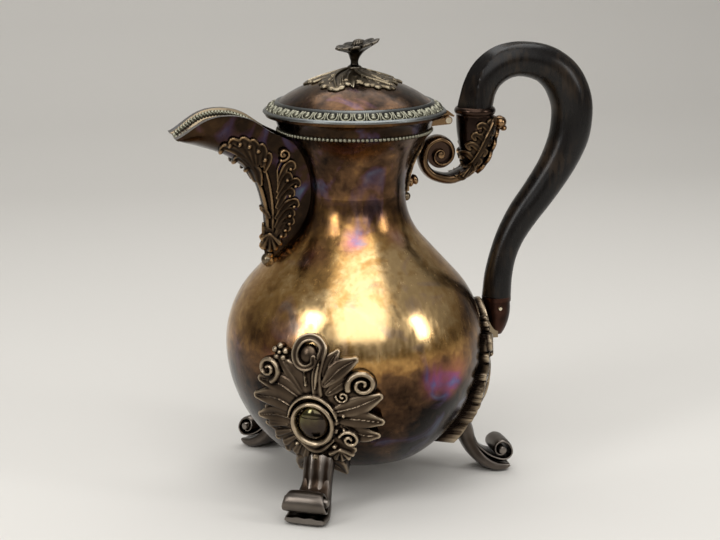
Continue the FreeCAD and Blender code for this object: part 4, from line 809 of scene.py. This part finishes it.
def ring_of(name, unit, count, radius, height):
    """Ring of like units round the pot's axis, turned from nodes into a plain mesh."""
    tree = bpy.data.node_groups.new(name, "GeometryNodeTree")
    sockets = {}
    for label, kind in (("Count", "Int"), ("Radius", "Float"), ("Height", "Float"), ("Unit", "Object"),
                        ("Finish", "Material")):
        socket = tree.interface.new_socket(label, in_out="INPUT", socket_type=f"NodeSocket{kind}")
        sockets[label] = socket.identifier
    tree.interface.new_socket("Geometry", in_out="OUTPUT", socket_type="NodeSocketGeometry")
    given = add(tree, "NodeGroupInput").outputs
    ring = add(tree, "GeometryNodeMeshCircle", {"Vertices": given["Count"], "Radius": given["Radius"]})
    index = add(tree, "GeometryNodeInputIndex")
    whole = add(tree, "ShaderNodeMath", {0: index, 1: 2 * math.pi}, operation="MULTIPLY")
    angle = add(tree, "ShaderNodeMath", {0: whole, 1: given["Count"]}, operation="DIVIDE")
    spin = add(tree, "ShaderNodeCombineXYZ", {"Z": angle})
    lift = add(tree, "ShaderNodeCombineXYZ", {"Z": given["Height"]})
    each = add(tree, "GeometryNodeObjectInfo", {"Object": given["Unit"]})
    placed = add(tree, "GeometryNodeInstanceOnPoints", {
        "Points": ring, "Instance": each.outputs["Geometry"], "Rotation": spin})
    moved = add(tree, "GeometryNodeSetPosition", {"Geometry": placed, "Offset": lift})
    real = add(tree, "GeometryNodeRealizeInstances", {"Geometry": moved})
    coated = add(tree, "GeometryNodeSetMaterial", {"Geometry": real, "Material": given["Finish"]})
    add(tree, "NodeGroupOutput", {"Geometry": coated})
    model = bpy.data.objects.new(f"{name}_unit", unit)
    holder = bpy.data.objects.new(name, bpy.data.meshes.new(name))
    bpy.context.scene.collection.objects.link(holder)
    modifier = holder.modifiers.new(name, "NODES")
    modifier.node_group = tree
    for label, value in (("Count", count), ("Radius", radius * MM), ("Height", height * MM), ("Unit", model),
                         ("Finish", border_silver)):
        modifier[sockets[label]] = value
    made = holder.evaluated_get(bpy.context.evaluated_depsgraph_get())
    mesh = bpy.data.meshes.new_from_object(made)
    bpy.data.objects.remove(holder)
    bpy.data.objects.remove(model)
    bpy.data.node_groups.remove(tree)
    return mesh


pitch = 2 * math.pi * border_middle[0] / egg_count
down = np.array([math.cos(border_slope), 0, math.sin(border_slope)])
off = np.array([-math.sin(border_slope), 0, math.cos(border_slope)])
side = np.array([0, 1, 0])
husk = [-2.6 * down + 2.3 * side, 2.6 * side + 0.5 * off, 1.9 * down + 1.9 * side + 0.4 * off,
        2.6 * down + 0.2 * off, 1.9 * down - 1.9 * side + 0.4 * off, -2.6 * side + 0.5 * off,
        -2.6 * down - 2.3 * side]
dart = [along * down + pitch / 2 * side + rise * off for along, rise in ((-2.4, 0.3), (0.0, 0.6), (2.5, 0.2))]
egg = pebble(-0.2 * down + 0.5 * off, (2.1, 1.6, 1.2), border_slope)
egg_unit = solid([egg, tube(husk, 0.55), tube(dart, 0.5)])
eggs = ring_of("egg_and_dart_row", egg_unit, egg_count, *border_middle)
flange_silver = cast_silver("cold_pale_silver", "#232320", "#454541", "#787b7a", 0.34)
new_piece("lid_border_ring", solid([lathe(border_outline, around_border)], 35), flange_silver, "lid",
          "worn_border", "lid_border")
new_piece("lid_border_eggs", eggs, border_silver, "lid", "worn_border")


# Neck beading: a row of small round beads soldered under the lid's seat.
# The beads nearly touch, and are rubbed as pale as the lid's border.
bead_low, bead_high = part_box("neck_beading")
bead_radius = (bead_high[2] - bead_low[2]) / 2 / MM
bead_middle = (bead_high[2] + bead_low[2]) / 2 / MM
bead_ring = (bead_high[1] - bead_low[1]) / 2 / MM - bead_radius
bead_pitch = 2.05 * bead_radius
bead_count = int(2 * math.pi * bead_ring / bead_pitch)
bead_unit = solid([pebble((0, 0, 0), (bead_radius, bead_radius, bead_radius), rows=7, around=10)])
bead_row = ring_of("neck_bead_row", bead_unit, bead_count, bead_ring, bead_middle)
new_piece("neck_bead_row", bead_row, border_silver, "pot", "worn_border", "neck_beading")


# Lid rosette: a thin casting over the crown of the dome, five broad leaves that swirl out from the finial.
# Each leaf has a rolled midrib and a scalloped rim, and a small pointed leaf fills the gap beside it.
# The casting swells up in the middle to meet the finial.
dome_centre = 153.72
dome_radius = 67.0
leaf_count = 5
leaf_start = -100
crown_mound = 2.6
crown_spread = 12.0
back_depth = -0.4


def dome_front(across, up, rise):
    """Places over the lid's dome, seen from above."""
    tall = np.sqrt(dome_radius ** 2 - across ** 2 - up ** 2)
    way = np.stack([across, up, tall], 1) / dome_radius
    return np.array([0, 0, dome_centre]) + way * (dome_radius + rise)[:, None]


def swirl(reach, turn):
    """Places at distances and angles in degrees round a middle."""
    return [(out * math.cos(math.radians(angle)), out * math.sin(math.radians(angle)))
            for out, angle in zip(reach, turn)]


crown = Relief((-27, -27), (27, 27), 0.35)
for place in range(leaf_count):
    start = 360 / leaf_count * place + leaf_start
    midrib = swirl((3, 9, 15, 20, 24), (start, start + 12, start + 27, start + 40, start + 47))
    crown.stroke(midrib, 15.5, 1.5, hollow=0.5, ends=(0.35, 0.42), swell=0.62, base=0.15)
    crown.stroke(midrib, 1.5, 1.5, ends=(1.3, 0.6), base=0.3)
    for out, turn, size in ((12.5, 2, 2.0), (16.5, 9, 2.3), (20.5, 19, 2.3), (23.6, 31, 2.2), (25.0, 44, 2.0),
                            (23.4, 56, 2.1), (19.6, 62, 2.1), (15.6, 58, 1.9)):
        crown.bead(swirl((out,), (start + turn - 3,))[0], size, 1.0, 0.35)
    for out, turn in ((14, 14), (18, 22), (21.5, 33), (21.4, 50), (17, 49)):
        ends = swirl((out * 0.72, out), (start + turn * 0.75 + 5, start + turn))
        crown.stroke(ends, 1.1, 1.3, ends=(0.8, 0.5), base=0.35)
    tip = swirl((9, 16, 23.5), (start - 14, start - 9, start - 4))
    crown.stroke(tip, 5.2, 1.7, hollow=0.5, ends=(0.5, 0.16), swell=0.6, base=0.1)
crown.bead((0, 0), 19.0, 0.9)
crown.bead((0, 0), 6.2, 1.5, 0.2)
mound = crown_mound * np.exp(-(crown.across ** 2 + crown.up ** 2) / crown_spread ** 2)
crown.rise += np.where(crown.filled(), mound, 0)
rosette = cast(crown, dome_front, lambda across, up: dome_front(across, up, across * 0 + back_depth))
# Rosette silver: worn, with painted shade in hollows and a painted highlight on edges.
rosette_silver = relief_silver("rubbed_relief_silver_painted_light", "#231c15", "#776a55", "#c2b79e", 0.3)
new_piece("lid_leaf_rosette", rosette, rosette_silver, "lid", "cast_ornament", "lid_rosette")


# Finial: a fluted flower on a short stem, screwed down through the lid. It leans a little, spout side low.
# Ten petals turn out flat at the top round a small button.
# The cast silver has gone dark, and only the rims of the petals are pale, with a painted highlight.
finial_base = 224.0
finial_outline = [
    (0.2, 0.0), (3.3, 0.0), (3.9, 0.7), (3.3, 1.5), (2.3, 2.1), (2.0, 3.4), (2.4, 5.2),
    (3.6, 7.6), (5.6, 9.6), (8.4, 11.0), (11.2, 12.0), (11.9, 12.8), (11.4, 13.4), (8.6, 13.0),
    (5.2, 12.6), (3.4, 12.9), (2.8, 14.2), (1.6, 15.2), (0.2, 15.4),
]
petals = 10
petal_notch = 0.2
petal_droop = 1.1
lean = 0.19
lean_out = 1.5
turn = circle(160)
finial_rings = []
for radius, tall in curve_through(finial_outline, 4):
    open_share = float(np.clip((tall - 6) / 5, 0, 1))
    petal = np.abs(np.cos(petals / 2 * turn)) ** 0.7
    ruffle = open_share * min(1.0, radius / 8)
    reach = radius * (1 - petal_notch * ruffle * (1 - petal))
    across = reach * np.cos(turn)
    up = finial_base + tall - petal_droop * ruffle * (1 - petal) * (0.5 if tall > 12.9 else 1.0)
    finial_rings.append(np.stack([across + lean_out * open_share, reach * np.sin(turn),
                                  up + lean * open_share * across], 1))
finial_silver = cast_silver("dark_cast_finial_silver", "#0d0b09", "#2a251f", "#746c60", 0.3)
new_piece("finial_flower_head", solid([skin(finial_rings)], 50), finial_silver, "lid", "cast_ornament",
          "finial_flower", "finial_stem")


# Spout mounts: a long acanthus spray on each cheek of the spout, its stem rising from a fan over the drop.
# Leaflets curl off it towards the neck, and a round curl fills the corner.
# The top runs out under the lip in lobes. The silver is dark brown, with a painted highlight along its rolls.
cheeks = {"left": -1, "right": 1}
press_from = 70
stem_lines = [
    [(-46.6, 129.0), (-48.2, 138), (-49.4, 146), (-50.8, 153)],
    [(-46.2, 129.0), (-46.8, 138), (-47.4, 148), (-49.2, 158), (-52.6, 168), (-57.6, 177), (-62, 183)],
    [(-45.6, 129.0), (-44.8, 138), (-44.6, 148), (-45.6, 158), (-47.6, 168), (-50.6, 177), (-52.4, 182.5)],
    [(-45.2, 129.4), (-43.2, 138), (-42.4, 148), (-42.4, 158), (-43.2, 168), (-43.6, 175), (-41.8, 179.4)],
]
frond_tips = [(-36.2, 177.0), (-37.6, 170.8), (-33.2, 167.4), (-36.0, 162.2), (-33.7, 156.2), (-35.8, 151.2),
              (-36.0, 146.8), (-38.0, 143.2), (-40.0, 139.8)]
side_tips = [(-51.6, 152.6), (-49.4, 141.6)]
lip_lobes = [
    ((-56.0, 176.5), (-71.0, 187.6)), ((-56.0, 177.5), (-67.2, 190.8)),
    ((-55.0, 178.0), (-62.0, 191.2)), ((-53.6, 178.0), (-57.0, 189.8)),
    ((-51.6, 177.0), (-52.4, 187.2)), ((-50.0, 174.0), (-48.8, 182.4)),
    ((-53.4, 168.0), (-63.0, 181.4)), ((-51.0, 166.0), (-56.6, 176.8)),
]


def carrier(*nodes):
    """Search tree over the surfaces of CAD nodes."""
    spots, sides = [], []
    for node in nodes:
        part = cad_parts[node]
        start = len(spots)
        spots += [part.matrix_world @ vertex.co for vertex in part.data.vertices]
        sides += [[start + corner for corner in polygon.vertices] for polygon in part.data.polygons]
    return BVHTree.FromPolygons(spots, sides)


def press(relief, surface, start, way, right):
    """Mesh of a flat relief pressed on to a surface along a direction, without what misses the surface."""
    sheet = copy(relief)
    sheet.rise = relief.rise.copy()
    found = {}
    for row, column in zip(*np.where(relief.filled())):
        across, up = relief.across[row, column], relief.up[row, column]
        spot = start + right * across + Vector((0, 0, up))
        hit, normal = surface.ray_cast(pot_axis + spot * MM, way)[:2]
        if hit is None:
            sheet.rise[row, column] = no_metal
        else:
            out = normal if normal.dot(way) < 0 else -normal
            found[(across, up)] = (np.array((hit - pot_axis) / MM), np.array(out))

    def front(across, up, rise):
        pairs = [found[pair] for pair in zip(across, up)]
        return np.array([spot + out * high for (spot, out), high in zip(pairs, rise)])

    return cast(sheet, front, lambda across, up: front(across, up, across * 0 + back_depth))


def press_both(name, relief, surface, *nodes):
    """Press a relief drawn from the side on to both cheeks of a surface."""
    for cheek, side in cheeks.items():
        start, way = Vector((0, side * press_from, 0)), Vector((0, -side, 0))
        mesh = press(relief, surface, start, way, Vector((1, 0, 0)))
        hidden = [f"{node}_{cheek}" for node in nodes]
        new_piece(f"{name}_{cheek}", mesh, leaf_silver, "pot", "cast_ornament", *hidden)


spray = Relief((-80, 120), (-31, 196), 0.35)
for line in stem_lines:
    spray.stroke(line, 2.0, 1.5, ends=(0.8, 0.5), swell=0.3, base=0.2)
for across, up in frond_tips:
    root = (-43.0 + 0.02 * (up - 150), up - 8.5)
    bend = (root[0] + 0.5 * (across - root[0]), up - 1.4)
    hook = [root, bend, (across - 0.4, up + 0.6), (across + 0.9, up - 1.5), (across - 0.7, up - 2.8)]
    spray.stroke(hook, 4.3, 2.7, hollow=0.5, ends=(0.6, 0.5), swell=0.5, base=0.2)
    spray.bead((across - 0.7, up - 2.4), 1.3, 2.9, 0.2)
for across, up in side_tips:
    spray.stroke([(across + 5.5, up - 5), (across + 2.6, up - 0.8), (across, up)], 3.4, 2.2, hollow=0.4,
                 ends=(0.5, 0.3), swell=0.5, base=0.2)
for (across, up), tip in lip_lobes:
    fall = (tip[0] - 1.6, tip[1] - 2.2)
    middle = (0.45 * across + 0.55 * tip[0] + 0.8, 0.35 * up + 0.65 * tip[1] + 0.6)
    spray.stroke([(across, up), middle, tip, fall], 5.0, 2.6, hollow=0.5, ends=(0.45, 0.62), swell=0.35,
                 base=0.2)
    spray.bead(fall, 1.5, 2.9, 0.2)
spray.roll(coil((-41.0, 182.8), 3.5, 1.3, 250), 2.3, 3.0, ends=(1.1, 0.8), base=0.2)
spray.bead((-41.0, 182.8), 1.4, 3.2, 0.2)
for spot in ((-50.4, 133.8), (-48.6, 131.0), (-46.0, 129.8), (-43.4, 130.8), (-41.4, 133.4)):
    spray.stroke([(-45.9, 139), spot], 2.9, 2.6, ends=(0.4, 1.15), base=0.2)
spray.bead((-46.2, 126.8), 2.0, 2.2, 0.2)
leaf_silver = relief_silver("cast_leaf_silver", "#100c09", "#33281e", "#9a7e5c", 0.28)
press_both("spout_spray", spray, carrier("spout"), "spout_leaf")


# Lip border: a row of small slanting gadroons soldered inside each rim of the beak.
# They stand on a plain strip, and are rubbed pale where the strip stays dark.
rim_line = [(-95.6, 190.2), (-88.6, 194.8), (-79.1, 199.7), (-68.1, 200.8), (-57.1, 198.0), (-48.6, 192.2)]
gadroon_count = 30
gadroon_half = (1.0, 0.9, 2.0)
gadroon_tilt = 0.5
gadroon_lift = 0.1
rim = curve_through(rim_line, 12)
passed = np.cumsum(np.r_[0, np.linalg.norm(np.diff(rim, axis=0), axis=1)])
for cheek, side in cheeks.items():
    strip = carrier(f"spout_border_{cheek}")
    row = []
    for share in np.linspace(0.02, 0.98, gadroon_count):
        across, up = (np.interp(share * passed[-1], passed, rim[:, axis]) for axis in range(2))
        face = strip.ray_cast(pot_axis + Vector((across, 0, up)) * MM, Vector((0, side, 0)))[0]
        if face is not None:
            spot = (across, face.y / MM - side * gadroon_lift, up)
            row.append(pebble(spot, gadroon_half, gadroon_tilt, 6, 10))
    new_piece(f"lip_gadroons_{cheek}", solid(row), border_silver, "pot", "worn_border")


# Bracket scroll: a flat C-scroll carries the upper socket out from the neck, its inner end rolled up tight.
# A button fills the eye, and a thin near-black web, painted shade, closes the gaps of the coil.
scroll_eye = (46.4, 177.0)
scroll_turns = [
    (-380, 1.2), (-290, 2.4), (-200, 3.4), (-110, 4.6), (0, 6.2),
    (90, 8.4), (180, 8.9), (270, 12.0), (300, 14.6),
]
scroll_end = [(58.6, 166.2), (62.6, 168.6), (65.4, 173.0), (66.2, 178.0)]
button_rims = [(-1.0, 0.3), (-0.95, 0.85), (-0.85, 1.0), (0.85, 1.0), (0.95, 0.85), (1.0, 0.3)]
turns = np.linspace(scroll_turns[0][0], scroll_turns[-1][0], 60)
reaches = np.interp(turns, *np.array(scroll_turns, float).T)
spiral = [(scroll_eye[0] + across, scroll_eye[1] + up) for across, up in swirl(reaches, turns)] + scroll_end
scroll_stations = [(across, up, 0.8 + 2.8 * share ** 1.7, 4.8 + 1.6 * share)
                   for (across, up), share in zip(spiral, np.linspace(0, 1, len(spiral)))]
scroll = bar(scroll_stations, 0.85, lambda wide: 0.6 * (1 - np.abs(wide) ** 4), 2)
button = boss_across(scroll_eye, 1.9, 5.0, button_rims, 28)
# A near-black disc closing the coil's gaps, as painted shade between the turns.
shade_web = boss_across(scroll_eye, 7.2, 2.4, [(-1.0, 1.0), (1.0, 1.0)], 28)
new_piece("bracket_scroll", solid([scroll, button], 40), bracket_silver, "pot", "cast_ornament",
          "handle_scroll")
new_piece("bracket_web", solid([shade_web]), socket_silver, "pot", "cast_ornament")


# Bracket leaf: a lobed leaf climbs behind the upper socket to a curled bud.
# Its cut edges are worn pale like the scroll it grows from, with a painted highlight on them.
climb = curve_through([(66.5, 166.5), (71.5, 173.0), (75.4, 182.0), (77.6, 189.0), (80.0, 192.6)], 8)
lobes = []
for (across, up), share in zip(climb, np.linspace(0, 1, len(climb))):
    spread = 2.8 + 4.2 * math.sin(math.pi * min(1, share * 1.15) ** 0.8)
    lobes.append((across, up, 1.6, spread * (0.72 + 0.28 * abs(math.sin(5 * math.pi * share)))))
leaf = bar(lobes, 0.7, lambda wide: 0.9 * (1 - np.abs(wide)), 2)
bud = [pebble((79.6, 0, 193.4), (3.7, 5.2, 3.5)), pebble((81.6, 0, 190.2), (1.9, 4.0, 1.8))]
new_piece("bracket_leaf", solid([leaf] + bud, 40), bracket_silver, "pot", "cast_ornament", "handle_leaf")


# Socket leaf: an acanthus leaf wraps each side of the upper socket, from the scroll below it to the bud.
# Its lobes hook over to both sides of a raised midrib.
climber = Relief((50, 160), (80, 199), 0.3)
spine = curve_through([(57.5, 166), (61.5, 171.5), (65.2, 179), (68.4, 187), (72.0, 194.5)])
climber.roll(spine, 8.0, 1.6, hollow=0.3, ends=(0.7, 0.6), swell=0.3, base=0.2)
climber.roll(spine, 1.4, 2.4, ends=(1.0, 0.6), base=0.2)
for across, up in spine[3::6]:
    for reach, tall in ((-5.6, 1.6), (5.2, 3.4)):
        lobe = [(across, up - 2), (across + reach * 0.6, up + tall), (across + reach, up + tall - 0.6),
                (across + reach * 0.86, up + tall - 2.6)]
        climber.stroke(lobe, 3.4, 2.4, hollow=0.35, ends=(0.7, 0.6), swell=0.4, base=0.2)
press_both("socket_leaf", climber, carrier("handle_socket", "handle_scroll"))


# Neck leaf: a drooping leaf covers the joint of the bracket with the neck, lobed on both sides of its midrib.
# Two small lobes hang free under it, above the bead at its tip.
droop = Relief((-13, 155), (13, 188), 0.35)
droop.stroke([(0, 187), (0, 172), (0, 157.5)], 5.0, 1.8, ends=(1.0, 0.3), base=0.3)
for tall, wide in ((182, 9.8), (176.5, 10.2), (171, 8.8), (165.5, 6.6), (161.5, 4.2)):
    for side in cheeks.values():
        droop.stroke([(0, tall + 3), (side * wide * 0.6, tall + 1.2), (side * wide, tall - 2.4)], 5.0, 3.0,
                     hollow=0.5, ends=(0.6, 0.3), swell=0.5, base=0.2)
neck_leaf = press(droop, carrier("pot_body"), Vector((press_from, 0, 0)), Vector((-1, 0, 0)),
                  Vector((0, 1, 0)))
new_piece("neck_leaf", neck_leaf, leaf_silver, "pot", "cast_ornament", "handle_neck_mount")
low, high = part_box("handle_neck_bead")
bead_spot = ((Vector(low) + Vector(high)) / 2 - pot_axis) / MM
drops = [pebble((bead_spot.x + across, 0, bead_spot.z + up), (1.9, 2.8, 3.0), tilt)
         for across, up, tilt in ((1.6, 8.0, 0.1), (4.0, 9.0, 0.35))]
new_piece("neck_drops", solid(drops), bracket_silver, "pot", "cast_ornament")
